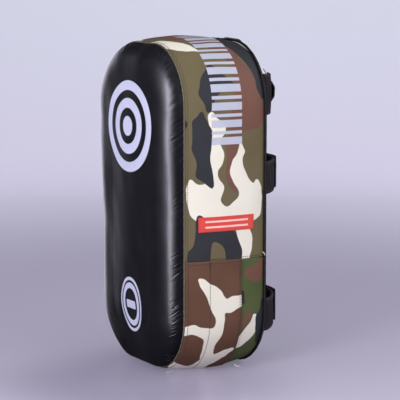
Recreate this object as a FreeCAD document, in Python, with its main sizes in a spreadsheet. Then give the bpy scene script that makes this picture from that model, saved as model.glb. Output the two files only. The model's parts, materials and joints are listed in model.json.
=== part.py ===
"""Forearm guard: a curved kick pad worn on the forearm, with its strike face to the front.

The pad is a foam block in a sewn case. A domed front cover and a flat back cover close the two sides
of a band (the gusset) that runs all the way round. Two split straps with hook-and-loop ends hold the
forearm against the back, a padded handle fills the hand, and a webbing loop at the top hangs it up.

Frame: X is the width, Y runs from the strike face (-Y) to the forearm side (+Y), Z is up. The origin
is on the flat of the bottom end, in the middle of the width and of the case's depth. Millimetres.
"""

import FreeCAD
import Part
import Sketcher
import math
import os

# The driving dimensions: alias, value in millimetres or degrees, meaning.
DIMENSIONS = [
    ("pad_width", 200, "case, side to side"),
    ("pad_height", 400, "case, end to end"),
    ("case_depth", 110, "front seam to back seam"),
    ("top_radius", 77, "corner radius at the hand end"),
    ("bottom_radius", 70, "corner radius at the elbow end"),
    ("dome_rise", 30, "strike face proud of the front seam"),
    ("dome_radius", 26, "rolled edge of the strike face"),
    ("cover_thick", 1.6, "coated leather of the covers"),
    ("case_gap", 0.2, "play between layers that touch"),
    ("lap_gap", 0.8, "upper edge of the wear patch below the lap"),
    ("foam_inset", 4, "strike foam inside its cover"),
    ("foam_round", 12, "rounded edge of the foam blocks"),
    ("core_front", 52, "strike foam to core foam, in front of the middle"),
    ("core_back", 22, "core foam to back foam, behind the middle"),
    ("patch_thick", 1, "wear patch and edge binding"),
    ("lap_height", 140, "lower edge of the upper gusset"),
    ("patch_back", 20, "back edge of the wear patch, behind the middle"),
    ("welt_radius", 1, "cord sewn into the front seam"),
    ("welt_sink", 0.6, "centre of the cord inside the case outline"),
    ("back_thick", 2, "back cover"),
    ("binding_side", 5, "binding along the gusset"),
    ("binding_lip", 8, "binding over the back cover"),
    ("cushion_width", 116, "forearm cushion"),
    ("cushion_low", 26, "lower end of the forearm cushion"),
    ("cushion_high", 300, "upper end of the forearm cushion"),
    ("cushion_thick", 6, "forearm cushion"),
    ("cushion_corner", 18, "corner of the forearm cushion"),
    ("cushion_round", 3, "rolled edge of the forearm cushion"),
    ("label_length", 76, "side label, front to back"),
    ("label_height", 18, "side label"),
    ("label_thick", 0.8, "side label"),
    ("label_level", 185, "middle of the side label"),
    ("strap_low", 66, "middle of the lower strap"),
    ("strap_high", 235, "middle of the upper strap"),
    ("strap_width", 40, "strap, along the forearm"),
    ("strap_thick", 3, "strap"),
    ("root_reach", 90, "strap root from the middle plane"),
    ("root_lift", 2.6, "strap root pivot above the back cover"),
    ("anchor_near", 60, "strap anchor, inner end from the middle plane"),
    ("anchor_far", 81, "strap anchor, outer end from the middle plane"),
    ("anchor_side", 1, "strap anchor beyond the strap's long edges"),
    ("anchor_thick", 2, "strap anchor"),
    ("arch_rise", 48, "loop strap's top above its root"),
    ("arch_shoulder", 10, "loop strap's bend at the root side"),
    ("tape_thick", 1.2, "hook tape and loop tape"),
    ("tape_gap", 0.15, "between the closed tapes"),
    ("tape_margin", 3, "tape inside the strap's long edges"),
    ("glue_gap", 0.05, "tape to strap"),
    ("hinge_gap", 0.2, "between two lengths of one strap"),
    ("handle_level", 336, "middle of the handle"),
    ("handle_flap", 50, "handle strap where it is sewn down"),
    ("handle_neck", 21, "handle strap inside the grip"),
    ("handle_taper", 14, "length over which the handle strap narrows, outside the grip"),
    ("handle_thick", 3, "handle strap"),
    ("handle_reach", 84, "handle root from the middle plane"),
    ("handle_bend", 18, "handle strap's bend at its root"),
    ("handle_rise", 29, "grip's centre above the back cover"),
    ("grip_half", 48, "half of the grip's length"),
    ("padding_half", 46, "half of the length of the foam inside the grip"),
    ("grip_radius", 15, "grip"),
    ("sleeve_thick", 1.5, "leather round the grip"),
    ("loop_width", 28, "hanging loop"),
    ("loop_thick", 1.8, "hanging loop webbing"),
    ("loop_length", 30, "hanging loop, root to far bend"),
    ("loop_bend", 5, "hanging loop's far bend"),
    ("loop_level", 399, "hanging loop's pivot"),
    ("loop_lift", 4, "hanging loop's pivot behind the back cover"),
]

# Directions, in degrees about the centre of the strap's crown arc, where a strap is cut.
HOOK_SPLIT = 109.0
HOOK_END = 71.0
LOOP_SPLIT = 68.0
LOOP_END = 92.0
# Where each tape starts and ends on its strap, in the same degrees.
HOOK_TAPE = (72.5, 90.0)
LOOP_TAPE = (69.5, 91.2)
# Slope of the handle strap between its bend and the grip, and the loop's droop behind its root.
HANDLE_SLOPE = 27.0
LOOP_DROOP = 52.0


class Size:
    """A length that knows its value and the sheet expression that gives it."""

    def __init__(self, value, text):
        self.value = float(value)
        self.text = text

    def _with(self, other, sign, result):
        other = as_size(other)
        return Size(result(self.value, other.value), f"({self.text} {sign} {other.text})")

    def __add__(self, other):
        return self._with(other, "+", lambda a, b: a + b)

    def __sub__(self, other):
        return self._with(other, "-", lambda a, b: a - b)

    def __mul__(self, other):
        return self._with(other, "*", lambda a, b: a * b)

    def __truediv__(self, other):
        return self._with(other, "/", lambda a, b: a / b)

    def __neg__(self):
        return Size(-self.value, f"(-1 * {self.text})")

    def root(self):
        return Size(math.sqrt(self.value), f"sqrt({self.text})")


def as_size(number):
    """Lets a plain number stand in a sum with Sizes."""
    return number if isinstance(number, Size) else Size(number, repr(float(number)))


def mirrored(points):
    """The same points on the other side of the middle, in reverse order."""
    return [(-x, y) for x, y in reversed(points)]


def along(length, degrees):
    """The two components of a length laid off at an angle."""
    turn = math.radians(degrees)
    return length * round(math.cos(turn), 9), length * round(math.sin(turn), 9)


# ---------------------------------------------------------------- document and sheet

doc = FreeCAD.newDocument("forearm_guard")
sheet = doc.addObject("Spreadsheet::Sheet", "dims")
for row, (alias, number, meaning) in enumerate(DIMENSIONS, start=1):
    sheet.set(f"A{row}", alias)
    sheet.set(f"B{row}", str(number))
    sheet.setAlias(f"B{row}", alias)
    sheet.set(f"C{row}", meaning)
doc.recompute()


def dim(alias):
    """The sheet's cell as a Size."""
    return Size(sheet.get(alias), f"dims.{alias}")


def bind(obj, prop, size):
    """Ties one property of an object to the sheet."""
    obj.setExpression(prop, as_size(size).text)


# ---------------------------------------------------------------- sketches

CCW, CW = 1, -1


def new_body(label):
    body = doc.addObject("PartDesign::Body", label)
    body.Label = label
    return body


def new_sketch(body, name, role, offset=None):
    """A sketch on one of the body's own origin planes, moved along the plane's normal."""
    plane = next(f for f in body.Origin.OriginFeatures if f.Role == role)
    sketch = body.newObject("Sketcher::SketchObject", name)
    sketch.AttachmentSupport = [(plane, "")]
    sketch.MapMode = "FlatFace"
    if offset is not None:
        bind(sketch, "AttachmentOffset.Base.z", offset)
    return sketch


def add_edge(sketch, start, end, radius, turn):
    """Adds a line, or an arc that turns left (CCW) or right (CW). Returns the edge and its two ends."""
    p = FreeCAD.Vector(start[0].value, start[1].value, 0)
    q = FreeCAD.Vector(end[0].value, end[1].value, 0)
    if radius is None:
        return sketch.addGeometry(Part.LineSegment(p, q), False), 1, 2
    chord = q - p
    half = chord.Length / 2
    lean = math.sqrt(max(radius.value**2 - half**2, 0.0))
    left = FreeCAD.Vector(-chord.y, chord.x, 0).normalize()
    centre = (p + q) * 0.5 + left * (lean * turn)
    circle = Part.Circle(centre, FreeCAD.Vector(0, 0, 1), radius.value)
    first, last = (p, q) if turn == CCW else (q, p)
    low = math.atan2(first.y - centre.y, first.x - centre.x)
    high = math.atan2(last.y - centre.y, last.x - centre.x)
    edge = sketch.addGeometry(Part.ArcOfCircle(circle, low, high), False)
    return (edge, 1, 2) if turn == CCW else (edge, 2, 1)


def constrain(sketch, size, kind, *target):
    """Adds one driving constraint and ties its value to the sheet."""
    number = sketch.addConstraint(Sketcher.Constraint(kind, *target, size.value))
    name = f"c{number}"
    sketch.renameConstraint(number, name)
    sketch.setExpression(f"Constraints.{name}", size.text)


def pin_point(sketch, edge, point, place):
    """Fixes one point of an edge at a place given by two Sizes."""
    for kind, size in zip(("DistanceX", "DistanceY"), place):
        constrain(sketch, size, kind, -1, 1, edge, point)


def set_radius(sketch, edge, start, end, radius):
    """Fixes the radius of an arc whose ends are placed. A half circle has its centre placed instead."""
    reach = [(b - a).value for a, b in zip(start, end)]
    if math.hypot(*reach) < 2 * radius.value - 1e-6:
        constrain(sketch, radius, "Radius", edge)
    elif abs(reach[0]) > abs(reach[1]):
        constrain(sketch, (start[1] + end[1]) / 2, "DistanceY", -1, 1, edge, 3)
    else:
        constrain(sketch, (start[0] + end[0]) / 2, "DistanceX", -1, 1, edge, 3)


def add_circle(sketch, x, y, radius):
    """A whole circle with its centre and radius placed."""
    x, y = as_size(x), as_size(y)
    circle = Part.Circle(FreeCAD.Vector(x.value, y.value, 0), FreeCAD.Vector(0, 0, 1), radius.value)
    edge = sketch.addGeometry(circle, False)
    constrain(sketch, radius, "Radius", edge)
    pin_point(sketch, edge, 3, (x, y))


def add_loop(sketch, corners):
    """A closed, fully constrained outline. Each corner is (x, y) or (x, y, radius, turn), where the
    radius and turn belong to the edge that leaves it."""
    points = [tuple(as_size(c) for c in corner[:2]) for corner in corners]
    ends = points[1:] + points[:1]
    arcs = [corner[2:] if len(corner) == 4 else (None, CCW) for corner in corners]
    edges = [add_edge(sketch, p, q, *arc) for p, q, arc in zip(points, ends, arcs)]
    for i, (edge, start, _) in enumerate(edges):
        before, _, end = edges[i - 1]
        sketch.addConstraint(Sketcher.Constraint("Coincident", before, end, edge, start))
        pin_point(sketch, edge, start, points[i])
    for (edge, _, _), p, q, (radius, _) in zip(edges, points, ends, arcs):
        if radius is not None:
            set_radius(sketch, edge, p, q, radius)


# ---------------------------------------------------------------- features


def pad(body, sketch, length):
    feature = body.newObject("PartDesign::Pad", f"{sketch.Name}_pad")
    feature.Profile = sketch
    bind(feature, "Length", length)
    doc.recompute()
    return feature


def pocket_through(body, sketch):
    """Cuts the sketch's loops out of the whole body, both ways from its plane."""
    before = body.Shape.Volume
    feature = body.newObject("PartDesign::Pocket", f"{sketch.Name}_pocket")
    feature.Profile = sketch
    feature.Type = "ThroughAll"
    feature.Midplane = True
    doc.recompute()
    if body.Shape.Volume >= before:
        raise RuntimeError(f"{feature.Name} cuts nothing")
    return feature


def round_edges(body, base, radius, chosen):
    """Fillets the edges of the base feature that the test picks."""
    names = [f"Edge{i}" for i, e in enumerate(base.Shape.Edges, start=1) if chosen(e.BoundBox)]
    feature = body.newObject("PartDesign::Fillet", f"{base.Name}_round")
    feature.Base = (base, names)
    bind(feature, "Radius", radius)
    doc.recompute()
    return feature


def hollow(body, base, thickness, open_face):
    """Turns a solid into a shell of one thickness, open at the face the test picks."""
    names = [f"Face{i}" for i, f in enumerate(base.Shape.Faces, start=1) if open_face(f.BoundBox)]
    feature = body.newObject("PartDesign::Thickness", f"{base.Name}_shell")
    feature.Base = (base, names)
    feature.Reversed = True
    bind(feature, "Value", thickness)
    doc.recompute()
    return feature


def flat_at(y):
    """Picks faces and edges that lie in the plane of that Y."""
    return lambda box: abs(box.YMin - y.value) < 1e-3 and abs(box.YMax - y.value) < 1e-3


# ---------------------------------------------------------------- the case's outline

half_width = dim("pad_width") / 2
half_depth = dim("case_depth") / 2
case_bottom = dim("patch_thick")
case_top = dim("pad_height")
back_face = half_depth + dim("back_thick")
seam_gap = dim("welt_radius") + dim("case_gap") / 2


def case_outline(inset):
    """The case seen from the front, moved inwards by inset (outwards if it is negative)."""
    side, top, bottom = half_width - inset, case_top - inset, case_bottom + inset
    upper, lower = dim("top_radius") - inset, dim("bottom_radius") - inset
    return [
        (side - lower, bottom, lower, CCW),
        (side, bottom + lower),
        (side, top - upper, upper, CCW),
        (side - upper, top),
        (upper - side, top, upper, CCW),
        (-side, top - upper),
        (-side, bottom + lower, lower, CCW),
        (lower - side, bottom),
    ]


def block(label, inset, front, back):
    """A solid with the case's outline between two depths, given as distances in front of the middle."""
    body = new_body(label)
    sketch = new_sketch(body, f"{label}_outline", "XZ_Plane", back)
    add_loop(sketch, case_outline(inset))
    return body, pad(body, sketch, front - back)


# ---------------------------------------------------------------- case


def build_strike_cover():
    """The front cover: a leather shell with a rolled edge, open towards the foam."""
    front = half_depth + dim("dome_rise")
    body, solid = block("strike_cover", as_size(0), front, half_depth + seam_gap)
    rolled = round_edges(body, solid, dim("dome_radius"), flat_at(-front))
    hollow(body, rolled, dim("cover_thick"), flat_at(-(half_depth + seam_gap)))
    return body


def build_strike_foam():
    """The soft foam block that fills the dome."""
    inset = dim("foam_inset") + dim("cover_thick")
    front = half_depth + dim("dome_rise") - inset
    body, solid = block("strike_foam", inset, front, dim("core_front") + dim("case_gap"))
    round_edges(body, solid, dim("dome_radius") - dim("foam_inset"), flat_at(-front))
    return body


def build_core_foam():
    """The stiff middle block, full width where the gusset is fullest."""
    inset = dim("cover_thick") + dim("case_gap")
    body, solid = block("core_foam", inset, dim("core_front"), -dim("core_back"))
    round_edges(body, solid, dim("foam_round"), flat_at(-dim("core_front")))
    return body


def build_back_foam():
    """The softer block behind the forearm."""
    inset = dim("cover_thick") + dim("case_gap")
    back = half_depth - dim("case_gap")
    body, solid = block("back_foam", inset, -dim("core_back") - dim("case_gap"), -back)
    round_edges(body, solid, dim("foam_round"), flat_at(back))
    return body


def gusset_half(label, outside, inside, cut, upper, front, back):
    """Half of a band round the case, above or below a level. outside and inside are its two insets."""
    body = new_body(label)
    sketch = new_sketch(body, f"{label}_section", "XZ_Plane", back)

    def half_outline(inset):
        side = half_width - inset
        radius = dim("top_radius") - inset if upper else dim("bottom_radius") - inset
        end = case_top - inset if upper else case_bottom + inset
        tangent = end - radius if upper else end + radius
        right = [(side, cut), (side, tangent), (side - radius, end)]
        return right + mirrored(right), radius

    turn = CCW if upper else CW
    outer, outer_radius = half_outline(outside)
    inner, inner_radius = half_outline(inside)
    inner.reverse()
    for corner in (1, 3):
        outer[corner] += (outer_radius, turn)
        inner[corner] += (inner_radius, -turn)
    add_loop(sketch, outer + inner)
    pad(body, sketch, front - back)
    return body


def build_upper_gusset():
    """The long piece of the band, over the hand end and down both sides."""
    front = half_depth - seam_gap
    thick = dim("cover_thick")
    return gusset_half("upper_gusset", as_size(0), thick, dim("lap_height"), True, front, -half_depth)


def build_lower_gusset():
    """The short piece of the band, under the elbow end."""
    cut = dim("lap_height") - dim("case_gap")
    return gusset_half(
        "lower_gusset", as_size(0), dim("cover_thick"), cut, False, half_depth - seam_gap, -half_depth
    )


def build_wear_patch():
    """The second layer sewn over the front of the lower gusset. The pad stands on it."""
    outside = -dim("patch_thick")
    cut = dim("lap_height") - dim("lap_gap")
    return gusset_half(
        "wear_patch", outside, as_size(0), cut, False, half_depth - seam_gap, -dim("patch_back")
    )


def build_front_welt():
    """The cord in the seam between the strike cover and the gusset, all the way round."""
    body = new_body("front_welt")
    spine = new_sketch(body, "front_welt_path", "XZ_Plane", half_depth)
    add_loop(spine, case_outline(dim("welt_sink")))
    profile = new_sketch(body, "front_welt_round", "YZ_Plane")
    add_circle(profile, -half_depth, case_top - dim("welt_sink"), dim("welt_radius"))
    doc.recompute()
    pipe = body.newObject("PartDesign::AdditivePipe", "front_welt_pipe")
    pipe.Profile = profile
    pipe.Spine = (spine, [])
    doc.recompute()
    return body


def build_back_cover():
    """The flat cover on the forearm side."""
    body, _ = block("back_cover", as_size(0), -half_depth - dim("case_gap") / 2, -back_face)
    return body


def build_back_binding():
    """Tape folded over the back seam: one leg lies on the gusset, the other on the back cover."""
    body = new_body("back_binding")
    outer = -(back_face + dim("patch_thick"))
    rim = new_sketch(body, "binding_rim", "XZ_Plane", outer)
    add_loop(rim, case_outline(-dim("patch_thick")))
    add_loop(rim, case_outline(dim("binding_lip")))
    pad(body, rim, dim("binding_side"))
    before = body.Shape.Volume
    seat = new_sketch(body, "binding_seat", "XZ_Plane", -back_face)
    add_loop(seat, case_outline(as_size(0)))
    groove = body.newObject("PartDesign::Pocket", "binding_groove")
    groove.Profile = seat
    groove.Reversed = True
    bind(groove, "Length", dim("binding_side"))
    doc.recompute()
    if body.Shape.Volume >= before:
        raise RuntimeError("binding_groove cuts nothing")
    return body


def build_forearm_cushion():
    """The thin padded panel the forearm lies on, between the strap roots."""
    body = new_body("forearm_cushion")
    top = back_face + dim("cushion_thick")
    sketch = new_sketch(body, "cushion_outline", "XZ_Plane", -top)
    side = dim("cushion_width") / 2
    low, high, corner = dim("cushion_low"), dim("cushion_high"), dim("cushion_corner")
    add_loop(
        sketch,
        [
            (side - corner, low, corner, CCW),
            (side, low + corner),
            (side, high - corner, corner, CCW),
            (side - corner, high),
            (corner - side, high, corner, CCW),
            (-side, high - corner),
            (-side, low + corner, corner, CCW),
            (corner - side, low),
        ],
    )
    solid = pad(body, sketch, dim("cushion_thick") - dim("case_gap") / 2)
    round_edges(body, solid, dim("cushion_round"), flat_at(top))
    return body


def build_side_label(name, direction):
    """A woven label sewn to the flat of the gusset, on the side that direction gives."""
    label = doc.addObject("Part::Box", name)
    label.Label = name
    bind(label, "Length", dim("label_thick"))
    bind(label, "Width", dim("label_length"))
    bind(label, "Height", dim("label_height"))
    near = half_width + dim("glue_gap")
    bind(label, "Placement.Base.x", near if direction > 0 else -near - dim("label_thick"))
    bind(label, "Placement.Base.y", -dim("label_length") / 2)
    bind(label, "Placement.Base.z", dim("label_level") - dim("label_height") / 2)
    return label


def build_strap_anchor(name, direction, level):
    """The stitched-down end of a strap half, flat on the back cover inside the strap's root."""
    anchor = doc.addObject("Part::Box", name)
    anchor.Label = name
    bind(anchor, "Length", dim("anchor_far") - dim("anchor_near"))
    bind(anchor, "Width", dim("anchor_thick"))
    bind(anchor, "Height", dim("strap_width") + dim("anchor_side") * 2)
    bind(anchor, "Placement.Base.x", dim("anchor_near") if direction > 0 else -dim("anchor_far"))
    bind(anchor, "Placement.Base.y", back_face + dim("glue_gap"))
    bind(anchor, "Placement.Base.z", level - dim("strap_width") / 2 - dim("anchor_side"))
    return anchor


# ---------------------------------------------------------------- straps
#
# Seen along the forearm, a closed strap is a three-centred arch: a crown arc about a centre on the
# middle plane, and a shoulder arc down to each root. The loop half is rooted at +X and lies
# underneath; the hook half is rooted at -X and closes over it.

root_level = back_face + dim("root_lift")
shoulder = dim("arch_shoulder")
shoulder_middle = dim("root_reach") - shoulder
# The crown centre lies below the roots by the drop that makes crown and shoulder tangent.
shoulder_rise = dim("arch_rise") - shoulder
crown_drop = (shoulder_middle * shoulder_middle - shoulder_rise * shoulder_rise) / (shoulder_rise * 2)
loop_crown = dim("arch_rise") + crown_drop
crown_level = root_level - crown_drop
half_strap = dim("strap_thick") / 2
tape_stack = dim("tape_thick") * 2 + dim("tape_gap") + dim("glue_gap") * 2
hook_crown = loop_crown + dim("strap_thick") + tape_stack
# The hook half's shoulder meets its larger crown and still comes down at the same reach.
reach = dim("root_reach")
hook_excess = hook_crown * hook_crown - crown_drop * crown_drop - reach * reach
hook_shoulder = hook_excess / ((hook_crown - reach) * 2)


def crown_point(radius, degrees):
    """A point of a crown arc, from the +X side round towards -X."""
    x, y = along(radius, degrees)
    return x, crown_level + y


def shoulder_meets_crown(crown, side_radius, offset, side):
    """Where an offset strap surface passes from its shoulder to its crown."""
    reach = dim("root_reach") - side_radius
    scale = (crown + offset) / (crown - side_radius)
    return reach * scale * side, crown_level + crown_drop * scale


def strap_base(label, level, crown, side_radius, split, side):
    """The root length of a strap half: a round root, the shoulder, and the crown up to the split."""
    body = new_body(label)
    sketch = new_sketch(body, f"{label}_section", "XY_Plane", level - dim("strap_width") / 2)
    turn = CCW if side > 0 else CW
    ends = {}
    for face, offset in (("out", half_strap), ("in", -half_strap)):
        ends[face] = (
            ((dim("root_reach") + offset) * side, root_level),
            shoulder_meets_crown(crown, side_radius, offset, side),
            crown_point(crown + offset, split),
        )
    add_loop(
        sketch,
        [
            ends["out"][0] + (side_radius + half_strap, turn),
            ends["out"][1] + (crown + half_strap, turn),
            ends["out"][2],
            ends["in"][2] + (crown - half_strap, -turn),
            ends["in"][1] + (side_radius - half_strap, -turn),
            ends["in"][0] + (half_strap, turn),
        ],
    )
    pad(body, sketch, dim("strap_width"))
    return body


def crown_band(label, level, inner, outer, start, end, width):
    """A length of strap or tape on the crown, between two directions and two radii."""
    body = new_body(label)
    sketch = new_sketch(body, f"{label}_section", "XY_Plane", level - width / 2)
    add_loop(
        sketch,
        [
            crown_point(outer, start) + (outer, CCW),
            crown_point(outer, end),
            crown_point(inner, end) + (inner, CW),
            crown_point(inner, start),
        ],
    )
    pad(body, sketch, width)
    return body


def build_strap(where, level):
    """One strap: its two halves, each in two lengths, and the two tapes that hold it shut."""
    gap = math.degrees(dim("hinge_gap").value / loop_crown.value)
    tape_width = dim("strap_width") - dim("tape_margin") * 2
    hook_inside, loop_outside = hook_crown - half_strap, loop_crown + half_strap
    hook_outside, loop_inside = hook_crown + half_strap, loop_crown - half_strap
    hook_tape_top = hook_inside - dim("glue_gap")
    hook_tape_low = hook_tape_top - dim("tape_thick")
    loop_tape_low = loop_outside + dim("glue_gap")
    loop_tape_top = loop_tape_low + dim("tape_thick")
    hook, loop, width = f"{where}_hook", f"{where}_loop", dim("strap_width")
    return [
        strap_base(f"{hook}_strap_base", level, hook_crown, hook_shoulder, HOOK_SPLIT + gap, -1),
        crown_band(f"{hook}_strap_tip", level, hook_inside, hook_outside, HOOK_END, HOOK_SPLIT, width),
        crown_band(f"{hook}_tape", level, hook_tape_low, hook_tape_top, *HOOK_TAPE, tape_width),
        strap_base(f"{loop}_strap_base", level, loop_crown, shoulder, LOOP_SPLIT - gap, 1),
        crown_band(f"{loop}_strap_tip", level, loop_inside, loop_outside, LOOP_SPLIT, LOOP_END, width),
        crown_band(f"{loop}_tape", level, loop_tape_low, loop_tape_top, *LOOP_TAPE, tape_width),
    ]


# ---------------------------------------------------------------- handle

grip_level = back_face + dim("handle_rise")


def handle_side(offset):
    """The handle strap's outline points on the +X side at an offset from its centre line: root, end of
    the bend, start of the straight length inside the grip."""
    bend = dim("handle_bend")
    centre_x = dim("handle_reach") - bend
    centre_y = back_face + dim("patch_thick") + dim("case_gap")
    cos, sin = along(bend + offset, 90.0 - HANDLE_SLOPE)
    slope = math.tan(math.radians(HANDLE_SLOPE))
    corner_y = grip_level + offset
    corner_x = centre_x + cos - (corner_y - centre_y - sin) / round(slope, 9)
    return [
        (centre_x + bend + offset, centre_y),
        (centre_x + cos, centre_y + sin),
        (corner_x, corner_y),
    ]


def build_handle_strap():
    """The strap through the grip. Its wide flaps are sewn down at the back cover's edges."""
    body = new_body("handle_strap")
    half = dim("handle_thick") / 2
    low = dim("handle_level") - dim("handle_flap") / 2
    sketch = new_sketch(body, "handle_strap_section", "XY_Plane", low)
    bend = dim("handle_bend")
    outer, inner = handle_side(half), handle_side(-half)
    right = [outer[0] + (bend + half, CCW), outer[1], outer[2]]
    left = mirrored(outer)
    left[1] += (bend + half, CCW)
    inside_left = [inner[0], inner[1], inner[2]]
    inside_left = [(-x, y) for x, y in inside_left]
    inside_left[0] += (bend - half, CW)
    inside_right = [inner[2], inner[1] + (bend - half, CW), inner[0]]
    add_loop(sketch, right + left + inside_left + inside_right)
    pad(body, sketch, dim("handle_flap"))

    # The flaps narrow to the neck that passes through the grip.
    neck = new_sketch(body, "handle_neck_cut", "XZ_Plane")
    level, width = dim("handle_level"), dim("handle_neck") / 2
    flap = dim("handle_flap") / 2 + dim("handle_thick")
    neck_x = dim("grip_half")
    shoulder_x = neck_x + dim("handle_taper")
    for way in (1, -1):
        corners = [
            (shoulder_x, level + flap * way),
            (neck_x, level + width * way),
            (-neck_x, level + width * way),
            (-shoulder_x, level + flap * way),
        ]
        add_loop(neck, corners if way > 0 else list(reversed(corners)))
    pocket_through(body, neck)
    return body


def grip_tube(label, outer, inner, length):
    """A tube along X on the grip's axis. With no inner radius it has a slot for the handle strap."""
    body = new_body(label)
    sketch = new_sketch(body, f"{label}_section", "YZ_Plane", -length / 2)
    level = dim("handle_level")
    add_circle(sketch, grip_level, level, outer)
    if inner is not None:
        add_circle(sketch, grip_level, level, inner)
    else:
        half = dim("handle_thick") / 2 + dim("case_gap")
        width = dim("handle_neck") / 2 + dim("case_gap")
        add_loop(
            sketch,
            [
                (grip_level - half, level - width),
                (grip_level + half, level - width),
                (grip_level + half, level + width),
                (grip_level - half, level + width),
            ],
        )
    pad(body, sketch, length)
    return body


def build_handle_padding():
    inner = dim("grip_radius") - dim("sleeve_thick") - dim("case_gap") / 2
    return grip_tube("handle_padding", inner, None, dim("padding_half") * 2)


def build_handle_sleeve():
    inner = dim("grip_radius") - dim("sleeve_thick")
    return grip_tube("handle_sleeve", dim("grip_radius"), inner, dim("grip_half") * 2)


# ---------------------------------------------------------------- hanging loop


def build_hanging_loop():
    """A folded webbing loop, sewn into the back seam at the top. It droops behind its round root."""
    body = new_body("hanging_loop")
    sketch = new_sketch(body, "hanging_loop_section", "YZ_Plane", -dim("loop_width") / 2)
    root_y, root_z = back_face + dim("loop_lift"), dim("loop_level")
    thick, far, bend = dim("loop_thick"), dim("loop_length"), dim("loop_bend")

    def place(forward, sideways):
        """A point laid off from the root along the loop and across it."""
        ahead_y, ahead_z = along(as_size(forward), -LOOP_DROOP)
        side_y, side_z = along(as_size(sideways), 90.0 - LOOP_DROOP)
        return root_y + ahead_y + side_y, root_z + ahead_z + side_z

    straight = far - bend
    add_loop(
        sketch,
        [
            place(0, -thick),
            place(straight, -bend) + (bend, CCW),
            place(straight, bend),
            place(0, thick) + (thick, CCW),
        ],
    )
    inner_start = thick * 2
    add_loop(
        sketch,
        [
            place(inner_start, thick * -0.2),
            place(straight, thick - bend) + (bend - thick, CCW),
            place(straight, bend - thick),
            place(inner_start, thick * 0.2),
        ],
    )
    pad(body, sketch, dim("loop_width"))
    return body


# ---------------------------------------------------------------- build, check, write

parts = [
    build_strike_cover(),
    build_strike_foam(),
    build_core_foam(),
    build_back_foam(),
    build_upper_gusset(),
    build_lower_gusset(),
    build_wear_patch(),
    build_front_welt(),
    build_back_cover(),
    build_back_binding(),
    build_forearm_cushion(),
    build_side_label("side_label_right", 1),
    build_side_label("side_label_left", -1),
    build_handle_strap(),
    build_handle_padding(),
    build_handle_sleeve(),
    build_hanging_loop(),
]
for where, level in (("lower", dim("strap_low")), ("upper", dim("strap_high"))):
    parts += build_strap(where, level)
    parts.append(build_strap_anchor(f"{where}_hook_strap_anchor", -1, level))
    parts.append(build_strap_anchor(f"{where}_loop_strap_anchor", 1, level))
doc.recompute()

for obj in doc.Objects:
    if "Invalid" in obj.State or "Error" in obj.State:
        raise RuntimeError(f"{obj.Name} failed: {obj.State}")

os.makedirs("parts", exist_ok=True)
for part in parts:
    shape = part.Shape
    if shape.isNull() or not shape.isValid() or not shape.Solids:
        raise RuntimeError(f"{part.Label} has no valid solid")
    shape.exportStep(f"parts/{part.Label}.step")
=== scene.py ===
"""Looks of the forearm kick pad: covers, gusset, straps, handle, stitching and the studio around it.

Lengths are in millimetres in the row frame, and meshes are scaled to metres when they are made.
u is the distance along the case's outline: on the straight of the +X side it equals the height,
and it runs on over the hand end. v is the distance across the gusset, the row frame's Y.
"""

import json
import math

import bpy
import numpy as np
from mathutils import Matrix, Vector


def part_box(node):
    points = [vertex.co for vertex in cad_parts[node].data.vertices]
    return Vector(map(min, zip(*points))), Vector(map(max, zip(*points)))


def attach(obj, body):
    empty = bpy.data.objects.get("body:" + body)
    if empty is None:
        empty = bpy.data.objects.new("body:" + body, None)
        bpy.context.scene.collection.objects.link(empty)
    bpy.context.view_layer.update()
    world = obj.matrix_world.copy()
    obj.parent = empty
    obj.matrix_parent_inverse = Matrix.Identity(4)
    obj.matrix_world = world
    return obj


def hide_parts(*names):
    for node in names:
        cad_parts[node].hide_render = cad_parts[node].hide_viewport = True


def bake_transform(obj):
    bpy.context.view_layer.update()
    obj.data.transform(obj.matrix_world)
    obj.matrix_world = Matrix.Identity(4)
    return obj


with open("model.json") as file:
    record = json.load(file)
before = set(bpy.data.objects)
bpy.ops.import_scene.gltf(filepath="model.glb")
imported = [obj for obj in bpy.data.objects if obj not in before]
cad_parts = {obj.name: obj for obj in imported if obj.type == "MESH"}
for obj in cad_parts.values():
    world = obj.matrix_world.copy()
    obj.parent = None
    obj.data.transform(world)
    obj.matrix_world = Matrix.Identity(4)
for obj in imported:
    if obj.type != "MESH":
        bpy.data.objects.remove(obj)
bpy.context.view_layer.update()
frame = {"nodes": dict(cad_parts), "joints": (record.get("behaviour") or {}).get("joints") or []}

# ---------------------------------------------------------------- sizes, from the CAD nodes

MM = 0.001


def mm_box(node):
    """Lowest and highest corners of a CAD node, in millimetres."""
    low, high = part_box(node)
    return np.array(low) / MM, np.array(high) / MM


def joint_place(name):
    joint = next(joint for joint in frame["joints"] if joint["name"] == name)
    return np.array(joint["pos_m"]) / MM


(_, _, LAP), (HALF_WIDTH, SEAM, TOP) = mm_box("upper_gusset")
BOTTOM = mm_box("lower_gusset")[0][2]
BACK = mm_box("back_cover")[1][1]
PATCH_BACK = mm_box("wear_patch")[1][1]
TOP_RADIUS, BOTTOM_RADIUS = 77.0, 70.0
SEAM_INSET = 2.5  # the seams are drawn in from the CAD outline
LEATHER, PATCH_LEATHER = 1.6, 1.5  # thicknesses

ROLL, ROLL_RISE, FACE_CROWN = 33.0, 24.0, 4.0  # the strike face's rolled edge and its dome
CROWN_SIDE, CROWN_END = 5.2, 6.8  # how far the band bulges on the long sides and round the ends
TARGET_X, TARGET_Z, BADGE_Z = 6.0, 298.0, 78.0
BARS_FROM, BARS_PITCH, BARS_COUNT, BARS_HALF = 279.0, 20.5, 9, 20.5
BINDING_THICK = 0.9

LABEL_LOW, LABEL_HIGH = mm_box("side_label_right")
LABEL_LEVEL = (LABEL_LOW[2] + LABEL_HIGH[2]) / 2
LABEL_HALF = LABEL_HIGH[1]
LABEL_TALL = 9.0

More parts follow.
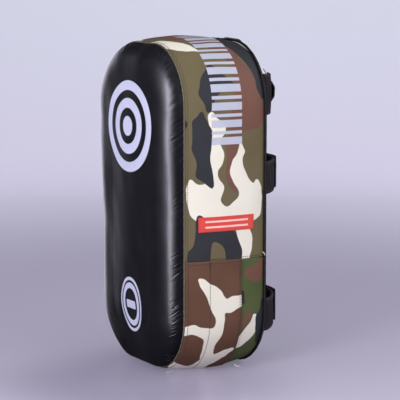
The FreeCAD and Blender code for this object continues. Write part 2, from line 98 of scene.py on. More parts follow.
STRAP_THICK, HANDLE_THICK, WEBBING_THICK = 3.0, 2.7, 1.7
FACING_THICK = 1.5  # the anchors' patches and the grip's sleeve
HOOK_END, LOOP_END = 109.0, 92.0  # where the strap halves end, in degrees round their crowns
ROOT_BEND = 4.0
STRAP_CUT = 46.0  # where a strap half's root piece meets its end piece
(ANCHOR_X, _, _), (ANCHOR_END, ANCHOR_FACE, _) = mm_box("upper_loop_strap_anchor")
STRAP_LOW, STRAP_HIGH = mm_box("upper_hook_strap_tip")
STRAP_HALF = (STRAP_HIGH[2] - STRAP_LOW[2]) / 2
STRAP_TOP = STRAP_HIGH[1]
ROOT_X, ROOT_Y, _ = joint_place("upper_loop_strap_open")
HOOK_MIDDLE = joint_place("upper_hook_strap_uncurl")[:2]
# The hook half's crown passes through its top and its middle hinge, which is on its outside.
SINK = STRAP_TOP - HOOK_MIDDLE[1]
HOOK_CROWN = (HOOK_MIDDLE[0] ** 2 + SINK**2) / (2 * SINK) - STRAP_THICK / 2
CROWN_Y = STRAP_TOP - STRAP_THICK / 2 - HOOK_CROWN
LOOP_CROWN = math.hypot(*(joint_place("upper_loop_strap_uncurl")[:2] - (0, CROWN_Y))) - STRAP_THICK / 2

HANDLE_LOW, HANDLE_HIGH = mm_box("handle_strap")
HANDLE_LEVEL = (HANDLE_LOW[2] + HANDLE_HIGH[2]) / 2
FLAP_HALF = (HANDLE_HIGH[2] - HANDLE_LOW[2]) / 2
NECK_HALF = 10.3
SLEEVE_LOW, SLEEVE_HIGH = mm_box("handle_sleeve")
GRIP_HALF = SLEEVE_HIGH[0]
GRIP_RADIUS = (SLEEVE_HIGH[1] - SLEEVE_LOW[1]) / 2
GRIP_Y = SLEEVE_HIGH[1] - GRIP_RADIUS
GRIP_OVAL = 1.12

CAMERA_AZIMUTH, CAMERA_ELEVATION, CAMERA_DISTANCE = 61.3, 7.6, 2.31
CAMERA_LENS, CAMERA_SHIFT = 167.2, (0.0358, 0.0025)

# ---------------------------------------------------------------- meshes


def link(obj):
    bpy.context.scene.collection.objects.link(obj)
    return obj


def make_object(name, points, faces, layers=None):
    """A smooth mesh object from points in millimetres. layers are named numbers or vectors per point."""
    mesh = bpy.data.meshes.new(name)
    mesh.from_pydata((np.asarray(points, float) * MM).tolist(), [], [tuple(map(int, f)) for f in faces])
    mesh.update()
    mesh.shade_smooth()
    for layer, values in (layers or {}).items():
        values = np.asarray(values, np.float32)
        kind, prop = ("FLOAT", "value") if values.ndim == 1 else ("FLOAT_VECTOR", "vector")
        mesh.attributes.new(layer, kind, "POINT").data.foreach_set(prop, values.ravel())
    return link(bpy.data.objects.new(name, mesh))


def join(first, *others):
    """Makes one object of several. Each keeps its materials."""
    every = [first, *others]
    with bpy.context.temp_override(active_object=first, object=first, selected_editable_objects=every):
        bpy.ops.object.join()
    return first


def finish_piece(obj, slot, material, *nodes, sewn=None, body="pad"):
    """Gives a piece its material and stitching and hides the CAD nodes it stands for. slot is not used. body
    is the name of the body the piece is put on, or, for a piece between two bodies, a tuple of their names
    and the points between them, which is not read further: such a piece only has its placing baked into its
    mesh."""
    obj.data.materials.append(material)
    if sewn:
        join(obj, sewn)
    if isinstance(body, str):
        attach(obj, body)
    else:
        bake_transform(obj)
    if nodes:
        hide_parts(*nodes)


def grid_faces(index):
    """Quads over a grid of vertex numbers."""
    a, b, c, d = index[:-1, :-1], index[1:, :-1], index[1:, 1:], index[:-1, 1:]
    return np.stack([a, b, c, d], axis=-1).reshape(-1, 4)


def triple(x, y, z):
    return np.stack([x, y, z], axis=-1)


def unit(vectors):
    return vectors / np.maximum(np.linalg.norm(vectors, axis=-1, keepdims=True), 1e-9)


def share(value):
    """The value, held between 0 and 1."""
    return np.clip(value, 0, 1)


def smooth(value):
    """0 to 1 like share, with a soft start and end."""
    value = share(value)
    return value * value * (3 - 2 * value)


def steps(start, end, step, edge):
    """Stations from start to end, crowded at both ends so that an edge of that size is round."""
    crowd = edge * np.array([0.0, 0.08, 0.3, 0.62, 1.0])
    middle = np.linspace(start + edge, end - edge, max(2, int(round((end - start - 2 * edge) / step)) + 1))
    return np.concatenate([start + crowd[:-1], middle, end - crowd[-2::-1]])


def roundness(stations, edge, ends):
    """How thick a panel is at its stations, from 0 on a rounded end to 1 inside."""
    shape = np.ones(len(stations))
    for distance, rounded in ((stations - stations[0], ends[0]), (stations[-1] - stations, ends[1])):
        if rounded:
            shape *= np.sqrt(1 - (1 - share(distance / edge)) ** 2)
    return shape


def ripple(u, v, size, seed):
    """Smooth, seeded unevenness of about unit height and the given size."""
    waves = 7
    rng = np.random.default_rng(seed)
    total = np.zeros(np.broadcast(u, v).shape)
    for _ in range(waves):
        angle, phase = rng.uniform(0, 2 * math.pi, 2)
        turn = 2 * math.pi / (size * rng.uniform(0.7, 1.5))
        total += np.sin(turn * (u * math.cos(angle) + v * math.sin(angle)) + phase)
    return total / math.sqrt(waves)


def sheet(name, us, vs, surface, thick, ends=(1, 1), layers=None):
    """A closed panel of cloth or leather. surface(u, v) gives its middle. us and vs are its stations.
    ends says which ends in u are rounded: 0 leaves one square."""
    grid_u, grid_v = np.meshgrid(us, vs, indexing="ij")
    middle = surface(grid_u, grid_v)
    normal = unit(np.cross(np.gradient(middle, axis=0), np.gradient(middle, axis=1)))
    half = thick / 2 * np.outer(roundness(us, thick / 2, ends), roundness(vs, thick / 2, (1, 1)))
    offset = normal * half[..., None]
    outer = np.arange(grid_u.size).reshape(grid_u.shape)
    inner = outer + grid_u.size
    inner[:, [0, -1]] = outer[:, [0, -1]]
    faces = []
    for line, rounded in zip((0, -1), ends):
        if rounded:
            inner[line] = outer[line]
        else:
            rim = grid_faces(np.stack([outer[line], inner[line]], axis=-1))
            faces.append(rim[:, ::-1] if line else rim)
    faces = np.concatenate([grid_faces(outer), grid_faces(inner)[:, ::-1], *faces])
    points = np.concatenate([(middle + offset).reshape(-1, 3), (middle - offset).reshape(-1, 3)])
    cloth = triple(grid_u, grid_v, np.ones_like(grid_u)).reshape(-1, 3)
    named = {"cloth": np.concatenate([cloth, cloth * (1, 1, -1)])}
    for layer, values in (layers(grid_u, grid_v) if layers else {}).items():
        named[layer] = np.tile(values.ravel(), 2)
    used = np.unique(faces)
    new = np.full(len(points), -1)
    new[used] = np.arange(len(used))
    named = {layer: values[used] for layer, values in named.items()}
    return make_object(name, points[used], new[faces], named)


# ---------------------------------------------------------------- the case's outline

HALF_FLAT, ARC, SIDE = 10, 40, 86  # stations on half of an end, on a corner and on a side


class Rim:
    """The case's outline in the XZ plane, drawn in by an inset."""

    def __init__(self, inset=SEAM_INSET):
        side, top, bottom = HALF_WIDTH - inset, TOP - inset, BOTTOM + inset
        rt, rb = TOP_RADIUS - inset, BOTTOM_RADIUS - inset
        quarter = math.pi / 2
        self.side, self.top, self.bottom, self.rt, self.rb = side, top, bottom, rt, rb
        # Each piece: length, first point or centre, radius, and the angle of its outward normal.
        straight = top - rt - bottom - rb
        self.pieces = [
            (side - rb, (0, bottom), 0, -quarter),
            (rb * quarter, (side - rb, bottom + rb), rb, -quarter),
            (straight, (side, bottom + rb), 0, 0),
            (rt * quarter, (side - rt, top - rt), rt, 0),
            (2 * (side - rt), (side - rt, top), 0, quarter),
            (rt * quarter, (rt - side, top - rt), rt, quarter),
            (straight, (-side, top - rt), 0, 2 * quarter),
            (rb * quarter, (rb - side, bottom + rb), rb, 2 * quarter),
            (side - rb, (rb - side, bottom), 0, 3 * quarter),
        ]
        self.starts = np.cumsum([0] + [piece[0] for piece in self.pieces])
        self.length = self.starts[-1]
        self.first = bottom + rb - self.starts[2]

    def at(self, u):
        """Point and outward normal in XZ at the distances u."""
        along = np.mod(np.asarray(u, float) - self.first, self.length)
        point, normal = np.zeros(along.shape + (2,)), np.zeros(along.shape + (2,))
        for (length, corner, radius, angle), start in zip(self.pieces, self.starts):
            here = (along >= start) & (along <= start + length)
            run = along[here] - start
            turn = angle + (run / radius if radius else 0 * run)
            out = np.stack([np.cos(turn), np.sin(turn)], axis=-1)
            ahead = np.stack([-np.sin(turn), np.cos(turn)], axis=-1)
            point[here] = np.array(corner) + (out * radius if radius else ahead * run[:, None])
            normal[here] = out
        return point, normal

    def walk(self):
        """Distances u at evenly spaced stations of each piece, from the middle of the bottom."""
        counts = [HALF_FLAT, ARC, SIDE, ARC, 2 * HALF_FLAT, ARC, SIDE, ARC, HALF_FLAT]
        parts = [start + piece[0] * np.arange(count) / count
                 for piece, start, count in zip(self.pieces, self.starts, counts)]
        return self.first + np.concatenate(parts)


RIM = Rim()
U_BOTTOM = RIM.first
U_TOP = U_BOTTOM + RIM.length / 2
LAP_FAR, LAP_LOW = 2 * U_TOP - LAP, 2 * U_BOTTOM - LAP


def on_floor(z, floor):
    """Heights that level out softly where they would sink below the floor."""
    soft = 0.5
    return floor + np.logaddexp(0, (z - floor) / soft) * soft


def crown(u, v):
    """How far the stuffed gusset stands out from the line between its two seams."""
    across = share(np.abs(v) / SEAM)
    on_side = np.exp(-((np.mod(u - U_BOTTOM, RIM.length / 2) - RIM.length / 4) / 190) ** 4)
    height = CROWN_END + (CROWN_SIDE - CROWN_END) * on_side
    lumps = 0.45 * ripple(u, v, 75, 3) + 0.16 * ripple(u, v, 22, 4)
    seam_pull = 0.22 * np.sin(u / 1.75 + 2 * np.sin(u / 37)) * np.exp(-(SEAM - np.abs(v)) / 4.5)
    fade = share(1 - across**6)
    return height * (1 - across**2.4) + lumps * fade + seam_pull * (across < 1)


def gusset_surface(lift):
    """The gusset's outside, lifted along its normal, resting on the floor at the bottom."""

    def surface(u, v):
        point, normal = RIM.at(u)
        x, z = np.moveaxis(point + normal * (crown(u, v) + lift)[..., None], -1, 0)
        return triple(x, v + 0 * z, np.where(z > 20, z, on_floor(z, 0.4 + max(lift, 0))))

    return surface


# ---------------------------------------------------------------- camouflage print
#
# Each blob is a stroke: points (u, v, half width) joined by straight lengths.

UPPER_PRINT = {
    "brown": [
        [(372, 22, 9), (355, 31, 17), (335, 34, 22), (316, 37, 19), (309, 20, 12)],
        [(318, 14, 9), (306, 14, 8), (292, 11, 7), (280, 6, 7), (266, 6, 7), (254, 3, 4), (241, 4, 4.5),
         (232, 9, 6.5), (226, 14, 4)],
        [(372, 22, 9), (390, 18, 10), (404, 10, 12), (420, 0, 14), (440, -12, 18), (462, -16, 20)],
    ],
    "cream": [
        [(315, -20, 6), (300, -14, 9), (285, -18, 9), (270, -17, 9.5), (255, -20, 8), (240, -20, 8),
         (228, -18, 11), (212, -28, 18)],
        [(240, -46, 2.5), (230, -44, 6), (218, -38, 11), (206, -32, 17)],
        [(208, -32, 17), (198, -20, 14), (192, -2, 12), (194, 16, 14), (202, 30, 16), (208, 38, 12)],
        [(234, 43, 2), (223, 44, 5.5), (213, 43, 9)],
        [(281, 19, 1.5), (270, 20, 3), (258, 15, 5.5), (248, 14, 7.5), (238, 19, 8), (227, 27, 8),
         (213, 34, 13), (202, 36, 14)],
        [(182, 22, 9), (165, 26, 8), (150, 27, 7.5), (130, 27, 7.5)],
        [(398, -20, 1.5), (404, -30, 4.5), (412, -40, 8), (424, -48, 10), (440, -54, 8), (455, -57, 5)],
        [(400, 54, 2), (414, 54, 4), (430, 54, 4), (442, 52, 2)],
    ],
    "slate": [
        [(317, -35, 3), (306, -35, 7), (292, -33, 11), (278, -34, 10.5), (264, -32, 8.5), (250, -31, 9),
         (240, -25, 6), (235, -21, 4)],
        [(366, -15, 7), (352, -19, 12), (338, -24, 9), (325, -24, 5)],
        [(356, -10, 8), (350, 4, 6), (348, 12, 3)],
        [(333, 53, 3), (348, 51, 6), (362, 50, 8), (378, 48, 9), (395, 42, 12), (412, 36, 14),
         (430, 34, 12), (446, 30, 8)],
        [(306, -57, 6.5)],
        [(194, -34, 4), (185, -33, 7), (172, -31, 10), (158, -33, 11), (148, -36, 12), (130, -40, 13)],
        [(172, -28, 10), (172, -8, 9), (164, 5, 9.5), (150, 9, 9.5), (130, 9, 9.5)],
    ],
}

LOWER_PRINT = {
    "brown": [
        [(122, 30, 6), (121, 42, 9), (127, 56, 10)],
        [(74, 32, 3), (66, 27, 5), (58, 22, 4)],
        [(-28, 30, 12), (-48, 36, 14), (-70, 28, 10)],
        [(10, 56, 8), (-14, 52, 6)],
    ],
    "cream": [
        [(69, 42, 3), (60, 42, 5), (52, 36, 6), (44, 30, 6), (37, 23, 6), (32, 14, 5)],
        [(-86, 50, 6), (-74, 42, 8), (-62, 44, 5)],
    ],
    "slate": [
        [(82, 53, 5), (66, 52, 6), (50, 50, 6), (38, 52, 6)],
        [(98, 22, 3.5), (88, 23, 4)],
        [(-10, 34, 5), (-24, 44, 7), (-40, 54, 8)],
    ],
}

PATCH_PRINT = {
    "cream": [
        [(120, -38, 1), (114, -31, 4), (106, -23, 6.5), (96, -17, 7.5), (88, -13, 7), (78, -12, 5),
         (68, -10, 4.5), (58, -12, 5.5), (48, -18, 6.5), (38, -20, 6), (24, -20, 7)],
        [(87, -8, 6), (86, 3, 5), (88, 12, 6), (90, 24, 7)],
        [(58, -58, 4.5), (59, -42, 4.5), (56, -32, 4.5), (51, -22, 6)],
        [(29, 14, 3), (22, 5, 5), (14, -6, 7), (4, -16, 10)],
        [(4, -54, 4), (-8, -44, 9), (-22, -36, 13), (-42, -30, 16), (-64, -34, 14)],
        [(8, -20, 9), (-10, -22, 12), (-24, -30, 12)],
    ],
    "brown": [],
    "slate": [],
}


def stroke_distance(u, v, strokes):
    """Distance to the nearest stroke, negative inside, with soft joins."""
    soft = 2.5
    total = np.zeros(np.shape(u))
    for stroke in strokes:
        for (u0, v0, r0), (u1, v1, r1) in zip(stroke, stroke[1:] or stroke):
            length = max((u1 - u0) ** 2 + (v1 - v0) ** 2, 1e-6)
            t = share(((u - u0) * (u1 - u0) + (v - v0) * (v1 - v0)) / length)
            distance = np.hypot(u - u0 - t * (u1 - u0), v - v0 - t * (v1 - v0)) - (r0 + t * (r1 - r0))
            total += np.exp(-np.clip(distance, -12, 40) / soft)
    return -soft * np.log(np.maximum(total, 1e-7))


def camouflage(print_strokes, far_side):
    """Layers that hold the distance to each colour. far_side turns (u, v) to where the far half repeats
    the print."""

    def layers(u, v):
        u = u + 1.6 * ripple(u, v, 26, 11)
        v = v + 1.6 * ripple(u, v, 26, 12)
        return {colour: np.minimum(stroke_distance(u, v, strokes), stroke_distance(*far_side(u, v), strokes))
                for colour, strokes in print_strokes.items()}

    return layers


def mirrored_below(u, v):
    return 2 * U_BOTTOM - u + 14, v


def turned_above(u, v):
    return 2 * U_TOP - u, -v


# ---------------------------------------------------------------- shaders


def srgb(*channels):
    """A colour given as 0 to 255 values, as Blender's linear colour."""
    parts = [c / 255 for c in channels]
    return tuple(c / 12.92 if c <= 0.04045 else ((c + 0.055) / 1.055) ** 2.4 for c in parts) + (1.0,)


def darker(color, part):
    return tuple(c * part for c in color[:3]) + (1.0,)


def operator(operation, turned=False):
    """A method of Value that adds a Math node. turned takes the two values the other way round."""

    def method(self, other=0.0):
        values = [other, self] if turned else [self, other]
        return self.shader.node("ShaderNodeMath", values, operation=operation)

    return method


class Value:
    """A value in a material's nodes. Arithmetic with it adds nodes."""

    def __init__(self, shader, socket):
        self.shader, self.socket = shader, socket

    __add__, __sub__, __rsub__ = operator("ADD"), operator("SUBTRACT"), operator("SUBTRACT", turned=True)
    __mul__, __truediv__, __abs__ = operator("MULTIPLY"), operator("DIVIDE"), operator("ABSOLUTE")
    larger, root, sine, sign = operator("MAXIMUM"), operator("SQRT"), operator("SINE"), operator("SIGN")
    fraction, above, below = operator("FRACT"), operator("GREATER_THAN"), operator("LESS_THAN")

    def step(self, low, high):
        """0 at low, 1 at high, smooth between."""
        inputs = {"Value": self, "From Min": low, "From Max": high}
        return self.shader.node("ShaderNodeMapRange", inputs, interpolation_type="SMOOTHSTEP")

    def scaled(self, low, high):
        """A 0 to 1 value spread from low to high."""
        return self.shader.node("ShaderNodeMapRange", {"Value": self, "To Min": low, "To Max": high})


class Shader:
    """A material with a Principled BSDF, and short ways to add nodes to it."""

    def __init__(self, name, **inputs):
        self.material = bpy.data.materials.new(name)
        self.material.use_nodes = True
        self.tree = self.material.node_tree
        self.bsdf = self.tree.nodes["Principled BSDF"]
        self.inputs = {key.replace("_", " "): value for key, value in inputs.items()}
        texture = self.tree.nodes.new("ShaderNodeTexCoord")
        inputs = {0: Value(self, texture.outputs["Object"]), "Scale": 1 / MM}
        self.place = self.node("ShaderNodeVectorMath", inputs, operation="SCALE")  # in millimetres

    def node(self, kind, inputs, output=0, **props):
        """Adds a node and gives one of its outputs. inputs are a list, or a dict by number or name."""
        node = self.tree.nodes.new(kind)
        for key, value in props.items():
            setattr(node, key, value)
        self.plug(node, inputs)
        return Value(self, node.outputs[output])

    def plug(self, node, inputs):
        for key, value in (inputs if isinstance(inputs, dict) else dict(enumerate(inputs))).items():
            if isinstance(value, Value):
                self.tree.links.new(value.socket, node.inputs[key])
            else:
                node.inputs[key].default_value = value

    def mix(self, factor, a, b, blend="MIX"):
        return self.node("ShaderNodeMix", {0: factor, 6: a, 7: b}, 2, data_type="RGBA", blend_type=blend)

    def noise(self, size, detail=2.0, rough=0.5, stretch=(1, 1, 1), place=None):
        place = self.node("ShaderNodeMapping", {"Vector": place or self.place, "Scale": stretch})
        inputs = {"Vector": place, "Scale": 1 / size, "Detail": detail, "Roughness": rough}
        return self.node("ShaderNodeTexNoise", inputs)

    def cells(self, size):
        return self.node("ShaderNodeTexVoronoi", {"Vector": self.place, "Scale": 1 / size}, "Distance")

    def layer(self, name, output="Fac"):
        return self.node("ShaderNodeAttribute", {}, output, attribute_name=name)

    def split(self, vector):
        """The three parts of a vector, or of the panel's own layer of u, v and side."""
        vector = self.layer(vector, "Vector") if isinstance(vector, str) else vector
        first = self.node("ShaderNodeSeparateXYZ", [vector])
        return [Value(self, output) for output in first.socket.node.outputs]

    def bump(self, height, depth):
        """Adds relief. height is 0 to 1, depth its height in millimetres."""
        inputs = {"Distance": depth * MM, "Height": height}
        if "Normal" in self.inputs:
            inputs["Normal"] = self.inputs["Normal"]
        self.inputs["Normal"] = self.node("ShaderNodeBump", inputs)

    def done(self, color, roughness):
        self.plug(self.bsdf, self.inputs | {"Base Color": color, "Roughness": roughness})
        return self.material


# ---------------------------------------------------------------- materials

PRINT_GREY = srgb(190, 193, 210)
OLIVE = srgb(117, 106, 80), srgb(98, 90, 64)
GREEN = srgb(96, 104, 66), srgb(70, 82, 50)
BROWN = srgb(124, 88, 76), srgb(108, 76, 64)
PATCH_BROWN = srgb(116, 84, 68), srgb(88, 61, 48)
CREAM = srgb(240, 236, 223), srgb(229, 224, 208)
SLATE = srgb(58, 59, 65), srgb(47, 47, 54)


def grain(shader, size=1.3, depth=0.05):
    """Embossed leather grain: small pebbles, with finer pores on them."""
    pebbles = shader.cells(size)
    shader.bump(pebbles, depth)
    shader.bump(shader.noise(size * 0.35, 3, 0.6), depth * 0.5)
    return pebbles


def coated_leather(name, dark, light, rough, grain_depth=0.05):
    """Synthetic leather with grain, cloudy gloss and a little dust: its shader, colour and roughness."""
    shader = Shader(name, Specular_IOR_Level=0.2)
    pebbles = grain(shader, depth=grain_depth)
    clouds = shader.noise(38, 3)
    color = shader.mix(clouds * shader.noise(6, 4, 0.6), dark, light)
    return shader, color, clouds.scaled(rough - 0.06, rough + 0.06) + pebbles.scaled(-0.03, 0.06)


def seam_folds(shader):
    """Fine folds that run in slantwise from the seam and fade out on the roll, in patches. The straight
    of the case is taut, so they are faint there."""
    along, inward, _ = shader.split("seam")
    place = shader.node("ShaderNodeCombineXYZ", [along + inward * 0.6, inward * 0.2])
    fold = abs(shader.noise(7, 2, 0.45, place=place) - 0.5).step(0.1, 0.0)
    near = inward.step(22, 5) * inward.step(0, 3)
    taut = along.step(110, 170) * along.step(320, 270)
    patches = shader.noise(45, 1).step(0.42, 0.6) * taut.scaled(1.0, 0.35)
    return 1.0 - fold * (near * patches)


def face_leather():
    """The strike face: black, with a plain printed target and a plain roundel."""
    shader, color, roughness = coated_leather("face_leather", srgb(12, 11, 17), srgb(25, 23, 34), 0.36)
    x, z, _ = shader.split("cloth")

    def distance(dx, dz):
        return (dx * dx + dz * dz).root()

    def ring(distance, inner, outer):
        width = (outer - inner) / 2
        return abs(distance - (inner + outer) / 2).step(width + 0.3, width - 0.3)

    target = distance(x - TARGET_X, z - TARGET_Z)
    badge = distance((x - TARGET_X) * 1.25, z - BADGE_Z)
    marks = abs(z - BADGE_Z).step(5.3, 4.7) * ring(badge, -1, 15)
    for middle, inner, outer in (
        (target, 44, 56), (target, 22, 34), (target, -1, 12), (badge, 30, 34), (badge, 20, 27),
    ):
        marks = marks.larger(ring(middle, inner, outer))
    shader.bump(seam_folds(shader), 0.75)
    marks *= shader.noise(2.2, 4, 0.7).step(0.3, 0.42).scaled(0.86, 1.0)
    shader.bump(marks, 0.05)
    return shader.done(shader.mix(marks, color, srgb(198, 201, 226)), roughness + marks * 0.1)


def printed_bars(shader, color):
    """Plain light bars along the gusset, wide and narrow in turn, broken by wear."""
    u, v, _ = shader.split("cloth")
    run = (u - BARS_FROM) / BARS_PITCH
    place = run.fraction()
    wide, narrow = (place.step(start, start + 0.015) * place.step(stop, stop - 0.015)
                    for start, stop in ((0.03, 0.48), (0.64, 0.84)))
    bars = wide.larger(narrow) * run.above(0.0) * run.below(float(BARS_COUNT))
    bars *= abs(v).step(BARS_HALF + 0.3, BARS_HALF - 0.3)
    worn = shader.noise(1.3, 4, 0.7).step(0.30, 0.44).scaled(0.8, 0.97)
    return shader.mix(bars * worn, color, PRINT_GREY)


def camouflage_leather(name, base, brown=BROWN, bars=False):
    """Printed coated fabric: four colours, a light sheen and a fine grain."""
    shader = Shader(name, Specular_IOR_Level=0.16)
    pebbles = grain(shader, size=0.9, depth=0.035)
    tone = shader.noise(55, 2)
    color = shader.mix(tone, *base)
    for layer, pair in (("brown", brown), ("cream", CREAM), ("slate", SLATE)):
        color = shader.mix(shader.layer(layer).step(0.35, -0.35), color, shader.mix(tone, *pair))
    if bars:
        color = printed_bars(shader, color)
    speckle = shader.noise(1.4, 3, 0.7).scaled(0.95, 1.04)
    grey = shader.node("ShaderNodeCombineColor", [speckle] * 3)
    color = shader.mix(1.0, color, grey, "MULTIPLY")
    return shader.done(color, tone.scaled(0.42, 0.52) + pebbles.scaled(-0.03, 0.05))


def strap_leather(name, half):
    """Soft black leather, lighter in broken patches along its edges, with long stretch lines. half is half of
    the piece's width.
    """
    shader = Shader(name, Specular_IOR_Level=0.28)
    grain(shader, size=1.1, depth=0.06)
    _, v, _ = shader.split("cloth")
    clouds = shader.noise(16, 4, 0.6)
    # Broken patches along the edges are lighter in colour.
    lighter_edges = abs(v).step(half - 3.0, half) * shader.noise(3.0, 4, 0.7).step(0.42, 0.62)
    base = shader.mix(clouds, srgb(30, 26, 31), srgb(54, 48, 55))
    shader.bump(shader.noise(9, 3, 0.6, stretch=(1, 1, 0.35)), 0.35)
    return shader.done(shader.mix(lighter_edges, base, srgb(72, 66, 72)), clouds.scaled(0.5, 0.68))


def welt_cloth():
    shader = Shader("welt_cloth")
    tone = shader.noise(5.4, 3)
    color = srgb(108, 101, 86)
    shader.bump(shader.noise(0.6, 3, 0.65), 0.1)
    return shader.done(shader.mix(tone, darker(color, 0.72), color), tone.scaled(0.52, 0.68))


def thread(name, color):
    shader = Shader(name, Sheen_Weight=0.3)
    fine = shader.noise(0.5, 2)
    shader.bump(shader.noise(0.25, 2, stretch=(1, 1, 3)), 0.05)
    return shader.done(shader.mix(fine, darker(color, 0.7), color), fine.scaled(0.5, 0.7))


def woven(name, dark, light, rib, cross, depth, roughness):
    """Webbing or tape: ribs along it and picks across it. Its colour runs from dark in the weave's hollows to
    light on the rib tops, following the bump: painted shade in the hollows, on a random fibre tone.
    """
    shader = Shader(name, Sheen_Weight=0.04, Specular_IOR_Level=0.2)
    u, v, _ = shader.split("cloth")
    warp = (v * (2 * math.pi / rib)).sine()
    weft = (u * (2 * math.pi / cross) + warp.sign() * (math.pi / 2)).sine()
    height = abs(warp) * weft.scaled(0.55, 1.0)
    fluff = shader.noise(0.7, 3, 0.7)
    shader.bump(height, depth)
    shader.bump(fluff, 0.05)
    # Painted shade: the colour is darkest where the weave's bump is lowest, mixed with a random fibre tone.
    color = shader.mix(height * fluff.scaled(0.5, 1.2), dark, light)
    return shader.done(color, fluff.scaled(roughness - 0.08, roughness + 0.1))


def foam(name, color):
    """Cut foam: open cells of two sizes, a little yellowed, and darker in the cells' hollows, which is
    painted shade.
    """
    shader = Shader(name, Specular_IOR_Level=0.2)
    cells, fine = shader.cells(1.6), shader.cells(0.6)
    aged = tuple(a * b for a, b in zip(color, (0.92, 0.84, 0.66, 1.0)))
    base = shader.mix(shader.noise(70, 3), color, aged)
    shader.bump(cells, 0.5)
    shader.bump(fine, 0.2)
    # Painted shade: the colour is darkest in the cells' hollows, where the bump is lowest.
    return shader.done(shader.mix(cells.step(0.15, 0.75), darker(color, 0.62), base), fine.scaled(0.82, 0.98))


def fastener_tape(name, dark, light, size, depth):
    """Hook or loop tape: a dense field of tufts."""
    shader = Shader(name, Sheen_Weight=0.5)
    tufts = shader.cells(size)
    tangle = shader.noise(size * 0.6, 4, 0.75)
    shader.bump(tufts, depth)
    shader.bump(tangle, depth * 0.6)
    return shader.done(shader.mix(tangle * tufts.scaled(1.3, 0.4), dark, light), tangle.scaled(0.8, 1.0))


def label_cloth():
    """Woven red label: a fine diagonal weave, and two light stripes. It carries no words."""
    shader = Shader("label_cloth", Sheen_Weight=0.2, Specular_IOR_Level=0.35)
    u, v, _ = shader.split("cloth")
    diagonal = ((u + v) * (2 * math.pi / 0.9)).sine()
    stripe = abs(abs(u - LABEL_LEVEL) - 3.3).step(1.3, 1.0) * abs(v).step(LABEL_HALF - 8.5, LABEL_HALF - 9.0)
    tone = shader.noise(12, 3)
    red = shader.mix(tone, srgb(236, 78, 66), srgb(222, 60, 52))
    shader.bump(diagonal.scaled(0, 1), 0.08)
    return shader.done(shader.mix(stripe, red, srgb(250, 206, 196)), tone.scaled(0.5, 0.62))


def backdrop_paper():
    """Pale paper, lighter up the sweep. Its floor is painted darker, which is painted shade, and darkest
    where the black face is over it, which is a painted reflection and shadow of the face. It glows a little,
    so that it stays pale away from the lights, and that glow is painted light."""
    shader = Shader("backdrop_paper", Specular_IOR_Level=0.1)
    x, y, z = shader.split(shader.place)

    def spot(cx, cy, outside, inside):
        dx, dy = x - cx, y - cy
        return (dx * dx + dy * dy).root().step(outside, inside)

    # Painted shade: the floor is darker than the sweep, and darker still in two broad patches, one round the
    # pad and one off to the side.
    floor = shader.mix(spot(-350, 190, 1500, 250), srgb(200, 196, 214), srgb(152, 147, 165))
    floor = shader.mix(spot(-1500, -900, 1250, 500), floor, srgb(158, 153, 170))
    # A darker pool in front of the black face: a painted reflection and shadow of the face on the floor.
    floor = shader.mix(spot(85, -110, 230, 70), floor, srgb(136, 131, 151))
    tone = shader.mix(shader.noise(700, 2), srgb(198, 200, 213), srgb(202, 204, 217))
    # The paper glows everywhere, which is painted light, and more strongly far off, where the floor also
    # takes the pale tone of the sweep, so that it stays pale where no lamp reaches.
    far = spot(0, 0, 2500, 5000)
    color = shader.mix(z.step(0, 420).larger(far), floor, tone)
    shader.inputs |= {"Emission Color": color, "Emission Strength": far.scaled(0.55, 0.95)}
    return shader.done(color, 0.28)


MATERIALS = {
    "strap": strap_leather("strap_leather", STRAP_HALF),
    "handle": strap_leather("handle_leather", FLAP_HALF),
    "grip": strap_leather("grip_leather", 90.0),
    "strap_thread": thread("strap_thread", srgb(56, 52, 58)),
}

# ---------------------------------------------------------------- strike cover and back cover

FILL_INSET = 58.0
# Creases that run in from the front seam: place u, lean, depth, half width, start and end.
CREASES = [
    (139, -0.55, 1.0, 1.5, 1, 17), (132, -0.5, 0.8, 1.3, 1, 14), (122, -0.35, 0.6, 1.6, 1, 12),
    (100, -0.5, 0.9, 1.6, 2, 15), (84, -0.4, 0.5, 1.6, 1, 11), (66, 0.3, 0.6, 1.8, 1, 14),
    (50, -0.3, 0.7, 1.9, 1, 17), (36, 0.2, 0.6, 1.8, 1, 14), (174, 0.3, 0.4, 1.5, 1, 10),
    (204, -0.4, 0.4, 1.4, 1, 9), (232, -0.4, 0.5, 1.6, 1, 11), (262, 0.4, 0.4, 1.5, 1, 9),
    (300, -0.7, 0.7, 1.6, 1, 15), (311, -0.7, 0.9, 1.7, 1, 17), (322, -0.75, 0.7, 1.5, 1, 20),
    (331, -0.8, 0.8, 1.6, 2, 18), (341, -0.8, 0.9, 1.7, 1, 22), (352, -0.8, 0.7, 1.6, 2, 16),
    (364, -0.7, 0.8, 1.9, 2, 20), (380, -0.6, 0.7, 2.0, 2, 16),
]


def rim_distance(x, z):
    """Distance in from the seam outline, for points inside it."""
    upper = z > (RIM.top + RIM.bottom) / 2
    radius = np.where(upper, RIM.rt, RIM.rb)
    return box_distance(np.abs(x) - RIM.side, np.where(upper, z - RIM.top, RIM.bottom - z), radius)


def box_distance(over_x, over_z, radius):
    """Distance in from a rounded corner. over_x and over_z are the distances past its straight sides."""
    qx, qz = over_x + radius, over_z + radius
    return radius - np.hypot(np.maximum(qx, 0), np.maximum(qz, 0)) - np.minimum(np.maximum(qx, qz), 0)


